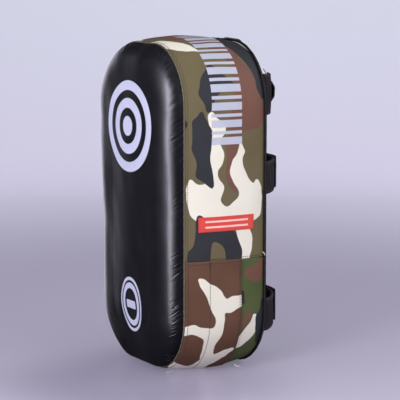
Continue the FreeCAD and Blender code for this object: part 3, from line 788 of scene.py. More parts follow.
def coons(ring):
    """Fills the last ring of a cover with a grid. Returns the grid's inner points and its vertex index,
    where numbers from 0 are ring points and negative ones are inner points."""
    wide, tall = 2 * (ARC // 2) + 2 * HALF_FLAT, ARC + SIDE
    corner = HALF_FLAT + ARC // 2
    total = len(ring)
    right = (corner + np.arange(tall + 1)) % total
    top = (corner + tall + wide - np.arange(wide + 1)) % total
    left = (corner + 2 * tall + wide - np.arange(tall + 1)) % total
    bottom = (corner + 2 * tall + wide + np.arange(wide + 1)) % total
    a = np.linspace(0, 1, wide + 1)[:, None, None]
    b = np.linspace(0, 1, tall + 1)[None, :, None]
    low, high = ring[bottom][:, None, :], ring[top][:, None, :]
    west, east = ring[left][None, :, :], ring[right][None, :, :]
    points = (1 - b) * low + b * high + (1 - a) * west + a * east
    points -= (1 - a) * (1 - b) * ring[bottom[0]] + a * (1 - b) * ring[bottom[-1]]
    points -= (1 - a) * b * ring[top[0]] + a * b * ring[top[-1]]
    index = np.zeros((wide + 1, tall + 1), int)
    index[:, 0], index[:, -1], index[0, :], index[-1, :] = bottom, top, left, right
    inner = (wide - 1) * (tall - 1)
    index[1:-1, 1:-1] = -1 - np.arange(inner).reshape(wide - 1, tall - 1)
    return points[1:-1, 1:-1].reshape(-1, 2), index


def cover(rings, height):
    """A cover from rings of (inset, height out of the seam plane, distance from the seam), filled inside
    with height(inset). Heights count outwards. Returns points as (x, height, z), faces, and each point's
    distance from the seam and along it."""
    points, distances = [], []
    for inset, rise, distance in rings:
        rim = Rim(SEAM_INSET + inset)
        place, _ = rim.at(rim.walk())
        points.append(triple(place[:, 0], np.full(len(place), rise), place[:, 1]))
        distances.append(np.full(len(place), distance))
    inner, index = coons(place)
    depth = rim_distance(inner[:, 0], inner[:, 1])
    points.append(triple(inner[:, 0], height(depth), inner[:, 1]))
    distances.append(rings[-1][2] + depth - rings[-1][0])
    count = len(place)
    base = (len(rings) - 1) * count
    numbers = np.arange(len(rings) * count).reshape(len(rings), count)
    numbers = np.concatenate([numbers, numbers[:, :1]], axis=1)
    fill = np.where(index >= 0, base + index, base + count - 1 - index)
    faces = np.concatenate([grid_faces(numbers)[:, ::-1], grid_faces(fill)])
    us = np.concatenate([np.tile(RIM.walk(), len(rings)), np.zeros(len(inner))])
    return np.concatenate(points), faces, np.concatenate(distances), us


def face_height(inset):
    """Height of the strike face in front of the seam, beyond the roll."""
    return ROLL_RISE + FACE_CROWN * smooth(inset / 95)


def strike_rings():
    rings = []
    for turn in np.linspace(0, math.pi / 2, 19):
        inset = ROLL * (1 - math.cos(turn))
        rings.append([inset, ROLL_RISE * math.sin(turn) + face_height(inset) - ROLL_RISE, 0])
    for inset in np.arange(ROLL + 3, FILL_INSET + 1, 3):
        rings.append([inset, face_height(inset), 0])
    for before, ring in zip(rings, rings[1:]):
        ring[2] = before[2] + math.hypot(ring[0] - before[0], ring[1] - before[1])
    return rings


def crease_depth(u, distance):
    """Relief of the creases, and of the puckers all along the seam."""
    relief = np.zeros(len(u))
    for place, lean, depth, half, start, end in CREASES:
        across = (u - place - lean * distance) / (half * (1 + distance / 18))
        window = share((distance - start) / 4) * share((end - distance) / 10)
        relief -= depth * (1 - 0.9 * across**2) * np.exp(-(across**2)) * window
    lean = u + 0.5 * distance
    pucker = np.sin(lean / 1.7 + 2.2 * np.sin(u / 23)) * np.exp(-distance / 6) * share(distance / 2)
    pleats = np.sin(lean / 2.1 + 1.5 * np.sin(u / 11)) * share(distance / 3) * np.exp(-distance / 9)
    corner = np.exp(-((u - U_TOP) / 62) ** 4)
    strong = np.clip(0.5 + 0.5 * ripple(u, 0 * u, 30, 21), 0, 1.3)
    return relief + 0.3 * pucker + 0.8 * pleats * corner * strong


def outward(points, faces):
    """Normals of points from the faces round them."""
    a, b, c, d = (points[faces[:, i]] for i in range(4))
    normal = np.cross(c - a, d - b)
    total = np.zeros_like(points)
    for i in range(4):
        np.add.at(total, faces[:, i], normal)
    return unit(total)


def evened(mesh, move, passes):
    """Averages each point's movement with its neighbours', over and over."""
    edges = np.zeros(len(mesh.edges) * 2, np.int32)
    mesh.edges.foreach_get("vertices", edges)
    a, b = edges.reshape(-1, 2).T
    here, there = np.concatenate([a, b]), np.concatenate([b, a])
    near = np.bincount(here, minlength=len(move))[:, None]
    for _ in range(passes):
        total = np.stack([np.bincount(here, move[there, axis], len(move)) for axis in range(3)], axis=-1)
        move = total / near
    return move


def corners_of(mesh):
    places = np.zeros(len(mesh.vertices) * 3)
    mesh.vertices.foreach_get("co", places)
    return places.reshape(-1, 3)


def inflate(obj, pinned, frames, limit, passes):
    """Lets cloth settle under pressure from inside. Pinned points hold, no point moves more millimetres
    than limit, and the movement is evened out so that the leather stays smooth."""
    before = corners_of(obj.data)
    group = obj.vertex_groups.new(name="pin")
    group.add(np.flatnonzero(pinned).tolist(), 1.0, "REPLACE")
    settings = obj.modifiers.new("cloth", "CLOTH").settings
    settings.quality = 6
    settings.mass = 0.4
    settings.tension_stiffness = settings.compression_stiffness = 25
    settings.shear_stiffness = 8
    settings.bending_stiffness = 0.8
    settings.use_pressure = True
    settings.uniform_pressure_force = 1.6
    settings.vertex_group_mass = "pin"
    settings.effector_weights.gravity = 0
    scene = bpy.context.scene
    for number in range(1, frames + 1):
        scene.frame_set(number)
    settled = obj.evaluated_get(bpy.context.evaluated_depsgraph_get()).to_mesh()
    move = evened(obj.data, corners_of(settled) - before, passes) * ~pinned[:, None]
    obj.modifiers.clear()
    obj.vertex_groups.clear()
    length = np.linalg.norm(move, axis=1, keepdims=True)
    move *= np.minimum(1, limit * MM / np.maximum(length, 1e-12))
    obj.data.vertices.foreach_set("co", (before + move).ravel())
    obj.data.update()
    scene.frame_set(1)


def thicken(obj):
    """Gives a single layer of leather its thickness, inwards."""
    solid = obj.modifiers.new("thickness", "SOLIDIFY")
    solid.thickness = LEATHER * MM
    solid.offset = -1
    evaluated = obj.evaluated_get(bpy.context.evaluated_depsgraph_get())
    mesh = bpy.data.meshes.new_from_object(evaluated)
    obj.modifiers.clear()
    obj.data = mesh


def strike_cover():
    """The strike face. Its far side and its lower half are pressed in a little, as in the photo."""
    points, faces, distance, u = cover(strike_rings(), face_height)
    flat = points.copy()
    x, rise, z = points.T
    raised = share(rise / 14)
    pull = 5.0 * smooth((290 - z) / 120) + 3.5 * smooth((80 - z) / 60)
    x = x + pull * raised * share(-x / 60)
    rise = rise * (1 - 0.10 * smooth((300 - z) / 130) - 0.14 * smooth((95 - z) / 90))
    top = smooth((z - 320) / 60)
    z = z - 1.5 * top * raised
    points = triple(x, -SEAM - rise, z)
    swell = 0.45 * ripple(x, z, 90, 31) + 0.1 * ripple(x, z, 34, 32)
    overhang = 1.6 * np.sin(math.pi * share(rise / ROLL_RISE)) * (1 - top)
    relief = np.where(distance < 60, crease_depth(u, distance) + overhang, 0)
    relief += swell * share(distance / 25)
    layers = {"cloth": triple(flat[:, 0], flat[:, 2], distance), "seam": triple(u, distance, 0 * u)}
    points = points + outward(points, faces) * relief[:, None]
    obj = make_object("strike_cover_leather", points, faces, layers)
    inflate(obj, distance < 2.5, frames=12, limit=1.4, passes=160)
    thicken(obj)
    finish_piece(obj, "black_leather", face_leather(), "strike_cover")


def back_cover():
    """The flat cover of the forearm side, a little puffed between the seams."""
    def height(inset):
        return 1.2 + 2.2 * (1 - np.exp(-np.maximum(inset, 0) / 18))

    rings = [[inset, float(height(inset)) if inset else 0.6, inset]
             for inset in [0, 1, 2.5, *np.arange(5, FILL_INSET + 1, 4)]]
    points, faces, distance, u = cover(rings, height)
    x, rise, z = points.T
    pull = 0.25 * np.sin(u / 2.1 + 2 * np.sin(u / 31)) * np.exp(-distance / 6) * share(distance / 3)
    swell = 0.35 * ripple(x, z, 60, 41) * share(distance / 20)
    points = triple(x, SEAM + rise + np.where(distance < 60, pull, 0) + swell, z)
    obj = make_object("back_cover_leather", points, faces[:, ::-1], {"cloth": triple(x, z, distance)})
    thicken(obj)
    shader, *look = coated_leather("back_leather", srgb(24, 22, 27), srgb(40, 37, 44), 0.5, grain_depth=0.09)
    finish_piece(obj, "back_leather", shader.done(*look), "back_cover")


# ---------------------------------------------------------------- foam inside the case


def foam_block(layer, material, front, back, inset, rounding):
    """A block of foam with the case's outline, from front to back in Y, with rounded edges."""
    middle = (front + back) / 2
    depth = middle - front
    halves = []
    for way, roll in ((-1, rounding), (1, 1.5)):
        tall = min(roll, depth - 0.5)
        rings = [[inset, 0.0, 0.0], [inset, depth - tall, 0.0]]
        for turn in np.linspace(0, math.pi / 2, 7)[1:]:
            rings.append([inset + roll * (1 - math.cos(turn)), depth - tall * (1 - math.sin(turn)), 0.0])
        rings.append([FILL_INSET, depth, 0.0])
        points, faces, _, _ = cover(rings, lambda inset: depth + 0 * inset)
        x, rise, z = points.T
        z = np.maximum(z, 2.0)
        rise = rise + 0.5 * ripple(x, z, 50, 51 + way) * (rise > depth - 0.1)
        halves.append((triple(x, middle + way * rise, z), faces if way < 0 else faces[:, ::-1]))
    ring = len(RIM.walk())
    (points, faces), (more, back_faces) = halves
    number = np.arange(len(more))
    shared = np.where(number < ring, number, number + len(points) - ring)
    faces = np.concatenate([faces, shared[back_faces]])
    obj = make_object(f"{layer}_foam_block", np.concatenate([points, more[ring:]]), faces)
    finish_piece(obj, "firm_foam" if layer == "core" else "soft_foam", material, f"{layer}_foam")


def foams():
    soft = foam("soft_foam_cut", srgb(214, 206, 178))
    firm = foam("firm_foam_cut", srgb(96, 98, 106))
    (_, front, _), (_, front_end, _) = mm_box("strike_foam")
    (_, core, _), (_, core_end, _) = mm_box("core_foam")
    (_, back, _), (_, back_end, _) = mm_box("back_foam")
    foam_block("strike", soft, front + 8, front_end, inset=13, rounding=18)
    foam_block("core", firm, core + 0.4, core_end, inset=5, rounding=1.2)
    foam_block("back", soft, back + 0.4, back_end - 2.5, inset=5, rounding=2)


# ---------------------------------------------------------------- gusset


def band(node, start, stop, back, thick, side, print_layers, leather, slot="camouflage_leather"):
    """A length of the printed band. side is -1 under the case's outline and 1 on top of the band."""
    front = -SEAM + (0.4 if side < 0 else 0.6)
    us, vs = steps(start, stop, 3.0, thick / 2), steps(front, back, 3.0, thick / 2)
    obj = sheet(f"{node}_leather", us, vs, gusset_surface(side * thick / 2), thick, layers=print_layers)
    finish_piece(obj, slot, leather, node)


def gusset():
    upper = camouflage_leather("camouflage_upper", OLIVE, bars=True)
    lower = camouflage_leather("camouflage_lower", GREEN)
    patch = camouflage_leather("camouflage_patch", PATCH_BROWN)
    back = SEAM - 0.4
    band("upper_gusset", LAP, LAP_FAR, back, LEATHER, -1, camouflage(UPPER_PRINT, turned_above), upper)
    on_lower, on_patch = camouflage(LOWER_PRINT, mirrored_below), camouflage(PATCH_PRINT, mirrored_below)
    band("lower_gusset", LAP_LOW + 0.4, LAP - 0.4, back, LEATHER, -1, on_lower, lower)
    band("wear_patch", LAP_LOW - 1, LAP + 1, PATCH_BACK, PATCH_LEATHER, 1, on_patch, patch,
         slot="camouflage_patch")


# ---------------------------------------------------------------- stitches and cords


def row(surface, corners, side=1, lift=0.0):
    """A sewing line over a surface, from one (u, v) corner to the next, as points and normals."""
    us, vs = [], []
    for (u0, v0), (u1, v1) in zip(corners, corners[1:]):
        count = max(2, int(math.hypot(u1 - u0, v1 - v0)))
        us.append(np.linspace(u0, u1, count))
        vs.append(np.linspace(v0, v1, count))
    u, v = np.concatenate(us), np.concatenate(vs)
    reach = 0.4
    along = surface(u + reach, v) - surface(u - reach, v)
    across = surface(u, v + reach) - surface(u, v - reach)
    normal = unit(np.cross(along, across)) * side
    return surface(u, v) + normal * lift, normal


def measured(line):
    """A line's length, and the distance along it of each of its points."""
    distance = np.concatenate([[0], np.cumsum(np.linalg.norm(np.diff(line, axis=0), axis=1))])
    return distance[-1], distance


def stitches(name, rows, pitch=4.0, length=3.1, radius=0.36):
    """Lock stitches along sewing lines: short threads that dip into the cloth at both ends."""
    ends, ups = [], []
    for point, normal in rows:
        reach, distance = measured(point)
        places = np.arange(pitch / 2, reach, pitch)

        def at(values, shift):
            return triple(*(np.interp(places + shift, distance, values[:, axis]) for axis in range(3)))

        ends.append(np.stack([at(point, -length / 2), at(point, length / 2)]))
        ups.append(unit(at(normal, 0)))
    (start, end), up = np.concatenate(ends, axis=1), np.concatenate(ups)
    middle, run = (start + end) / 2, end - start
    side = unit(np.cross(run, up))
    stations = np.array([-0.5, -0.4, -0.15, 0.15, 0.4, 0.5])
    fat = np.array([0.25, 0.8, 1.0, 1.0, 0.8, 0.25]) * radius
    rise = np.array([-0.5, 0.25, 0.7, 0.7, 0.25, -0.5]) * radius
    turn = np.linspace(0, 2 * math.pi, 6, endpoint=False)[:, None]
    centre = middle[:, None] + run[:, None] * stations[:, None] + up[:, None] * rise[:, None]
    ring = side[:, None, None] * np.cos(turn) + up[:, None, None] * np.sin(turn)
    points = centre[:, :, None] + ring * fat[:, None, None]
    index = np.arange(points[..., 0].size).reshape(points.shape[:3])
    looped = np.concatenate([index, index[:, :, :1]], axis=2)
    a, b, c, d = looped[:, :-1, :-1], looped[:, :-1, 1:], looped[:, 1:, 1:], looped[:, 1:, :-1]
    quads = np.stack([a, b, c, d], axis=-1).reshape(-1, 4)
    return make_object(name, points.reshape(-1, 3), [*quads, *index[:, 0, ::-1], *index[:, -1]])


def sewing(rows, pitch, length, radius):
    """Dark stitches that become a part of the piece they are sewn through."""
    obj = stitches("sewing", rows, pitch, length, radius)
    obj.data.materials.append(MATERIALS["strap_thread"])
    return obj


def rod(name, path, radius, sides=10, closed=False, oval=1.0):
    """A cord along a path of points. radius is a number or one per point."""
    path = np.asarray(path, float)
    radius = np.broadcast_to(np.asarray(radius, float), (len(path),))
    if closed:
        ahead = unit(np.roll(path, -1, axis=0) - np.roll(path, 1, axis=0))
    else:
        ahead = unit(np.gradient(path, axis=0))
    helper = np.array([0, 1.0, 0]) if abs(ahead[:, 1]).max() < 0.9 else np.array([0, 0, 1.0])
    side = unit(np.cross(ahead, helper))
    up = np.cross(side, ahead)
    turn = np.linspace(0, 2 * math.pi, sides, endpoint=False)[:, None]
    ring = side[:, None] * oval * np.cos(turn) + up[:, None] * np.sin(turn)
    points = path[:, None] + ring * radius[:, None, None]
    index = np.arange(points[..., 0].size).reshape(points.shape[:2])
    caps = [] if closed else [index[0, ::-1], index[-1]]
    index = np.concatenate([index, index[:, :1]], axis=1)
    if closed:
        index = np.concatenate([index, index[:1]])
    return make_object(name, points.reshape(-1, 3), [*grid_faces(index), *caps])


def curve_points(corners, count):
    """A smooth line through corner points, with count points for each."""
    corners = np.asarray(corners, float)
    padded = np.concatenate([2 * corners[:1] - corners[1:2], corners, 2 * corners[-1:] - corners[-2:-1]])
    t = np.linspace(0, 1, count, endpoint=False)[:, None]
    parts = []
    for a, b, c, d in zip(padded, padded[1:], padded[2:], padded[3:]):
        bend = (2 * a - 5 * b + 4 * c - d) * t**2 + (3 * b - a - 3 * c + d) * t**3
        parts.append(b + ((c - a) * t + bend) / 2)
    return np.concatenate(parts + [corners[-1:]])


def ribbon(line, to_space):
    """A surface(u, v) whose middle follows a flat line: u runs along it and v across it."""
    _, distance = measured(line)

    def surface(u, v):
        first = np.interp(u, distance, line[:, 0])
        second = np.interp(u, distance, line[:, 1])
        # Past either end the ribbon runs straight on.
        for ahead, over in (
            (unit(line[1] - line[0]), np.minimum(u, 0)),
            (unit(line[-1] - line[-2]), np.maximum(u - distance[-1], 0)),
        ):
            first, second = first + ahead[0] * over, second + ahead[1] * over
        return to_space(first, second, u, v)

    return surface


# ---------------------------------------------------------------- seams and labels


def welt():
    """The cord in the front seam, covered in the gusset's cloth."""
    us = np.linspace(U_BOTTOM, U_BOTTOM + RIM.length, 900, endpoint=False)
    point, normal = RIM.at(us)
    wander = 0.15 + 0.12 * np.sin(us / 9) + 0.1 * np.sin(us / 3.7)
    x, z = (point + normal * wander[:, None]).T
    path = triple(x, np.full(len(us), -SEAM - 0.5), np.maximum(z, 1.2))
    obj = rod("front_welt_cord", path, 1.0 + 0.12 * np.sin(us / 1.4), closed=True)
    finish_piece(obj, "welt_cord", welt_cloth(), "front_welt")


def binding():
    """The folded tape over the back seam. Its line is (out from the outline, depth) across the tape."""
    line = curve_points(
        [(2.5, 53.2), (2.4, 54.8), (1.8, 56.2), (0.5, 57.3), (-2.0, 57.9), (-5.5, 58.2), (-9.0, 58.4)], 6)
    length, distance = measured(line)
    end = U_BOTTOM + RIM.length

    def surface(u, v):
        out = np.interp(v, distance, line[:, 0])
        ruck = 0.22 * np.sin(u / 2.6 + 1.7 * np.sin(u / 19)) + 0.1 * np.sin(u / 1.3)
        point, normal = RIM.at(u)
        x, z = np.moveaxis(point + normal * (out + ruck * np.clip(out / 2, -0.4, 1))[..., None], -1, 0)
        depth = np.interp(v, distance, line[:, 1]) + ruck * share(-out / 6)
        return triple(x, depth, np.where(z < 12, on_floor(z, 0.5), z))

    us, vs = np.linspace(U_BOTTOM, end, 760), np.linspace(0, length, 22)
    obj = sheet("back_binding_tape", us, vs, surface, BINDING_THICK, ends=(0, 0))
    # black is the tape's own dark colour, shown in the weave's hollows as painted shade; worn is its lighter
    # colour on the rib tops.
    black, worn = srgb(12, 12, 14), srgb(30, 29, 33)
    tape = woven("binding_tape", black, worn, rib=1.1, cross=1.4, depth=0.1, roughness=0.6)
    finish_piece(obj, "back_leather", tape, "back_binding")
    rows = [row(surface, [(U_BOTTOM, v), (end, v)], -1, BINDING_THICK / 2) for v in (1.3, length - 2.4)]
    sewn = stitches("binding_stitching", rows, pitch=4.2)
    finish_piece(sewn, "back_leather", thread("binding_thread", srgb(38, 36, 41)))


def labels():
    """A woven label on each side of the case, sewn all round."""
    cloth, edge = label_cloth(), thread("label_thread", srgb(202, 60, 46))
    on_case = gusset_surface(0.45)
    for side, middle in (("right", LABEL_LEVEL), ("left", 2 * U_TOP - LABEL_LEVEL)):
        name = f"side_label_{side}"
        us = steps(middle - LABEL_TALL, middle + LABEL_TALL, 1.5, 0.4)
        obj = sheet(f"{name}_cloth", us, steps(-LABEL_HALF, LABEL_HALF, 2.0, 0.4), on_case, 0.8)
        # Both labels share a material, so the left one's u is counted from the right one's place.
        layer = obj.data.attributes["cloth"].data
        for point in layer:
            point.vector.x -= middle - LABEL_LEVEL
        finish_piece(obj, "red_label", cloth, name)
        a, b, c = middle - LABEL_TALL + 1.4, middle + LABEL_TALL - 1.4, LABEL_HALF - 1.4
        box = [(a, -c), (b, -c), (b, c), (a, c), (a, -c)]
        sewn = stitches(f"{name}_stitching", [row(on_case, box, -1, 0.4)], 2.2, 1.7, 0.25)
        finish_piece(sewn, "red_label", edge)


def gusset_stitching():
    """The seams that show on the band: top stitching along the front, hems and the patch's own lines."""
    skin, on_patch = gusset_surface(0), gusset_surface(PATCH_LEATHER)
    top_line, patch_front, patch_middle, patch_hem = -51.2, -51.4, -23.5, PATCH_BACK - 2.4
    front = row(skin, [(LAP, top_line), (LAP_FAR, top_line)], -1, 0.1)
    light = stitches("front_seam_stitching", [front], 3.2, 2.1, 0.36)
    finish_piece(light, "camouflage_leather", thread("olive_thread", srgb(64, 58, 46)))
    rows = [row(on_patch, [(LAP_LOW, v), (LAP, v)], -1) for v in (patch_front, patch_middle, patch_hem)]
    rows += [row(on_patch, [(u, -SEAM + 2), (u, patch_hem)], -1) for u in (LAP - 2.4, LAP_LOW + 2.4)]
    rows += [row(skin, [(u, -SEAM + 2), (u, SEAM - 6)], -1, 0.1) for u in (LAP + 2.6, LAP_LOW - 2.6)]
    # Bar tacks where the patch's middle line ends.
    for place, end in ((LAP, LAP - 9), (LAP_LOW, LAP_LOW + 9)):
        beside = (patch_middle - 0.5, patch_middle, patch_middle + 0.5)
        rows += [row(on_patch, [(place, v), (end, v)], -1) for v in beside]
    dark = stitches("patch_stitching", rows, 3.4, 2.6, 0.34)
    finish_piece(dark, "camouflage_patch", thread("brown_thread", srgb(44, 33, 30)))


def thread_ends():
    """A few thread ends left at the seams."""
    dark = [[(90, 59.5, 359), (91.5, 60, 362), (91.2, 58.6, 365), (90.2, 57, 367.5)]]
    pale = [
        [(99.6, 52, 146), (101.6, 52.6, 145), (102.2, 53.4, 143), (101.4, 54.2, 142.2)],
        [(87, 20, 8), (89.5, 21, 6.4), (91.5, 22.6, 5.6), (92.2, 24.4, 6.6)],
        [(60, -52, 1.6), (62, -55, 1.2), (63, -58, 1.4), (62, -61, 1.1)],
    ]
    for name, ends, color, slot in (
        ("dark_thread_end", dark, srgb(24, 22, 26), "back_leather"),
        ("pale_thread_ends", pale, srgb(224, 218, 196), "camouflage_leather"),
    ):
        first, *others = [rod(name, curve_points(end, 8), 0.5, 8) for end in ends]
        if others:
            join(first, *others)
        finish_piece(first, slot, thread(name, color))


# ---------------------------------------------------------------- straps


def strap_line(crown_radius, end):
    """The middle of a strap half whose root is on the +X side, up to a direction on its crown: along the
    anchor, round the bend, up the shoulder and over the crown."""
    rise = ROOT_Y - CROWN_Y
    shoulder = (crown_radius**2 - rise**2 - ROOT_X**2) / (2 * (crown_radius - ROOT_X))
    meet = math.atan2(rise, ROOT_X - shoulder)
    foot = ANCHOR_FACE - STRAP_THICK / 2 - 0.6
    first = math.asin(min(1, max(0, (foot + ROOT_BEND - ROOT_Y) / shoulder + 0.04)))

    def arc(x, y, radius, start, stop, count):
        turn = np.linspace(start, stop, count)
        return np.stack([x + radius * np.cos(turn), y + radius * np.sin(turn)], axis=-1)

    return np.concatenate([
        np.stack([np.linspace(ANCHOR_X + 1, ROOT_X - ROOT_BEND, 12), np.full(12, foot)], axis=-1)[:-1],
        arc(ROOT_X - ROOT_BEND, foot + ROOT_BEND, ROOT_BEND, -math.pi / 2, 0, 10),
        arc(ROOT_X - shoulder, ROOT_Y, shoulder, first, meet, 24),
        arc(0, CROWN_Y, crown_radius, meet, math.radians(end), 40)[1:],
    ])


def strap_half(where, kind, side, crown_radius, end, level):
    """One strap half, in two pieces: a root length that curves round at the anchor, and the rest, which runs
    on over the crown.
    """
    line = strap_line(crown_radius, end)
    length, _ = measured(line)
    seed = 61 + (side > 0) + 2 * (where == "upper")
    thick = STRAP_THICK - 0.3

    def to_space(x, y, u, v):
        free = share((u - 30) / 40) * np.clip((length - u) / 30, 0.35, 1)
        lift = (0.25 * ripple(u, 3 * v, 60, seed) - 0.5 * (v / STRAP_HALF) ** 2) * free
        out = unit(np.stack([x, y - CROWN_Y], axis=-1))
        return triple((x + out[..., 0] * lift) * side, y + out[..., 1] * lift, level + v * side)

    surface = ribbon(line, to_space)
    edge = STRAP_HALF - 3.0

    def length_of_strap(name, start, stop, ends, stitched, hem, node, body):
        us, vs = steps(start, stop, 2.0, 1.3), steps(-STRAP_HALF, STRAP_HALF, 2.5, 1.3)
        obj = sheet(f"{name}_leather", us, vs, surface, thick, ends=ends)
        a, b = stitched
        lines = [[(a, edge), (b, edge)], [(a, -edge), (b, -edge)], [(hem, -edge), (hem, edge)]]
        rows = [row(surface, corners, way, thick / 2) for way in (1, -1) for corners in lines]
        sewn = sewing(rows, 3.8, 2.9, 0.32)
        finish_piece(obj, "strap_leather", MATERIALS["strap"], node, sewn=sewn, body=body)

    strap = f"{where}_{kind}_strap"
    root, tip = f"{strap}_root", f"{strap}_end"
    height = joint_place(f"{strap}_open")[2]
    below, above = ((ROOT_X - 6) * side, ROOT_Y - 2, height), ((ROOT_X + 0.5) * side, ROOT_Y + 7, height)
    length_of_strap(root, 0.0, STRAP_CUT, (1, 0), (26, STRAP_CUT), STRAP_CUT - 3, f"{strap}_base",
                    ("pad", root, below, above))
    middle = joint_place(f"{strap}_uncurl")
    ahead = 9 * unit(np.array([-(middle[1] - CROWN_Y) * side, middle[0] * side, 0]))
    stop = length - 3.5
    length_of_strap(tip, STRAP_CUT, length, (0, 1), (STRAP_CUT + 1, stop), stop, f"{strap}_tip",
                    (root, tip, middle - ahead, middle + ahead))


def anchor(where, kind, side, level):
    """The leather patch that covers a strap's sewn end, with boxed cross stitching."""
    node = f"{where}_{kind}_strap_anchor"
    low, high = mm_box(node)
    half = (high[2] - low[2]) / 2

    def surface(u, v):
        return triple(u * side, ANCHOR_FACE + 0.5 + 0.075 * ripple(u, v, 15, 71), level + v * side)

    us, vs = steps(ANCHOR_X - 2, ANCHOR_END, 1.5, 0.8), steps(-half, half, 2.0, 0.8)
    obj = sheet(f"{node}_leather", us, vs, surface, FACING_THICK)
    rows = crossed_box(surface, ANCHOR_X + 0.2, ANCHOR_END - 2.2, half - 2.2, FACING_THICK / 2)
    finish_piece(obj, "strap_leather", MATERIALS["strap"], node, sewn=sewing(rows, 3.0, 2.3, 0.34))


def crossed_box(surface, a, b, c, lift):
    """Sewing lines round a box and along both its diagonals."""
    box = [(a, -c), (b, -c), (b, c), (a, c), (a, -c), (b, c)]
    return [row(surface, corners, -1, lift) for corners in (box, [(a, c), (b, -c)])]


def straps():
    for where in ("lower", "upper"):
        low, high = mm_box(f"{where}_hook_strap_tip")
        level = (low[2] + high[2]) / 2
        strap_half(where, "hook", -1, HOOK_CROWN, HOOK_END, level)
        strap_half(where, "loop", 1, LOOP_CROWN, LOOP_END, level)
        anchor(where, "hook", -1, level)
        anchor(where, "loop", 1, level)


def fastener_tapes():
    """The hook and loop tapes keep their CAD shape."""
    for tape, material in (
        ("hook_tape", fastener_tape("hook_tape_field", srgb(18, 17, 20), srgb(52, 50, 56), 1.1, 0.5)),
        ("loop_tape", fastener_tape("loop_tape_pile", srgb(26, 25, 28), srgb(70, 67, 74), 0.8, 0.35)),
    ):
        for where in ("lower", "upper"):
            slots = frame["nodes"][f"{where}_{tape}"].data.materials
            slots.clear()
            slots.append(material)


# ---------------------------------------------------------------- handle and hanging loop


def grip_radius(x):
    """The grip is stuffed: fullest in the middle and gathered at its ends."""
    run = share(np.abs(x) / GRIP_HALF)
    return GRIP_RADIUS + 0.6 - 0.5 * run**2 - 2.2 * share((run - 0.92) / 0.08) ** 2


def handle_strap():
    """A wide strap from one sewn foot to the other, narrowed where it runs through the grip."""
    foot = BACK + 2.0
    side = [
        (66, foot), (76, foot - 0.1), (82, foot + 0.6), (85, foot + 4.5), (83.8, foot + 9.5), (79, foot + 15),
        (71, foot + 19.5), (61, foot + 23.5), (50, GRIP_Y - 0.8), (40, GRIP_Y), (20, GRIP_Y)]
    line = curve_points([*side, (0, GRIP_Y), *[(-x, y) for x, y in reversed(side)]], 8)
    length, _ = measured(line)

    def to_space(x, y, u, v):
        width = NECK_HALF + (FLAP_HALF - NECK_HALF) * smooth((np.abs(x) - GRIP_HALF + 2) / 13)
        cup = 1.6 * (v / FLAP_HALF) ** 2 * share((np.abs(x) - 50) / 20) * share((y - 64) / 10)
        wave = 0.3 * ripple(u, 20 * v, 40, 81) * share((y - 62) / 8)
        return triple(x, y - cup + wave, HANDLE_LEVEL + v * width / FLAP_HALF)

    surface = ribbon(line, to_space)
    us, vs = steps(0, length, 2.0, 1.3), steps(-FLAP_HALF, FLAP_HALF, 2.0, 1.3)
    obj = sheet("handle_strap_leather", us, vs, surface, HANDLE_THICK)
    edge = FLAP_HALF - 2.6
    rows = [row(surface, [(start, v), (stop, v)], way, HANDLE_THICK / 2)
            for start, stop in ((20, 62), (length - 62, length - 20))
            for way in (1, -1) for v in (edge, -edge)]
    for start, stop in ((2.5, 15), (length - 2.5, length - 15)):
        rows += crossed_box(surface, start, stop, edge, HANDLE_THICK / 2)
    finish_piece(obj, "strap_leather", MATERIALS["handle"], "handle_strap", sewn=sewing(rows, 3.4, 2.6, 0.34))


def grip():
    """The sleeve round the strap, sewn along its front, and its padding."""
    around = 2 * math.pi * GRIP_RADIUS

    def surface(u, v):
        turn = v / GRIP_RADIUS - math.pi / 2
        gather = 0.4 * np.sin(v / 1.6) * share((np.abs(u) - GRIP_HALF + 14) / 14)
        radius = grip_radius(u) - FACING_THICK / 2 + 0.22 * ripple(u, v, 16, 82) + gather
        return triple(u, GRIP_Y + radius * np.sin(turn), HANDLE_LEVEL + GRIP_OVAL * radius * np.cos(turn))

    us, vs = steps(-GRIP_HALF, GRIP_HALF, 1.6, 0.8), steps(0.5, around - 0.5, 1.6, 0.6)
    obj = sheet("handle_sleeve_leather", us, vs, surface, FACING_THICK)
    inside, lift = GRIP_HALF - 3, FACING_THICK / 2
    rows = [row(surface, [(-inside, v), (inside, v)], 1, lift) for v in (2.6, around - 2.6)]
    rows += [row(surface, [(u, 1), (u, around - 1)], 1, lift) for u in (-inside, inside)]
    finish_piece(obj, "strap_leather", MATERIALS["grip"], "handle_sleeve", sewn=sewing(rows, 3.2, 2.4, 0.32))

    run = np.linspace(-GRIP_HALF + 2.5, GRIP_HALF - 2.5, 60)
    path = triple(run, np.full(60, GRIP_Y), np.full(60, HANDLE_LEVEL))
    radius = (grip_radius(run) - 2.0) * np.sqrt(np.clip(1 - (np.abs(run) / (GRIP_HALF - 2.2)) ** 24, 0.02, 1))
    padding = rod("handle_padding_foam", path, radius, 32, oval=GRIP_OVAL)
    finish_piece(padding, "soft_foam", foam("grip_foam", srgb(92, 94, 102)), "handle_padding")


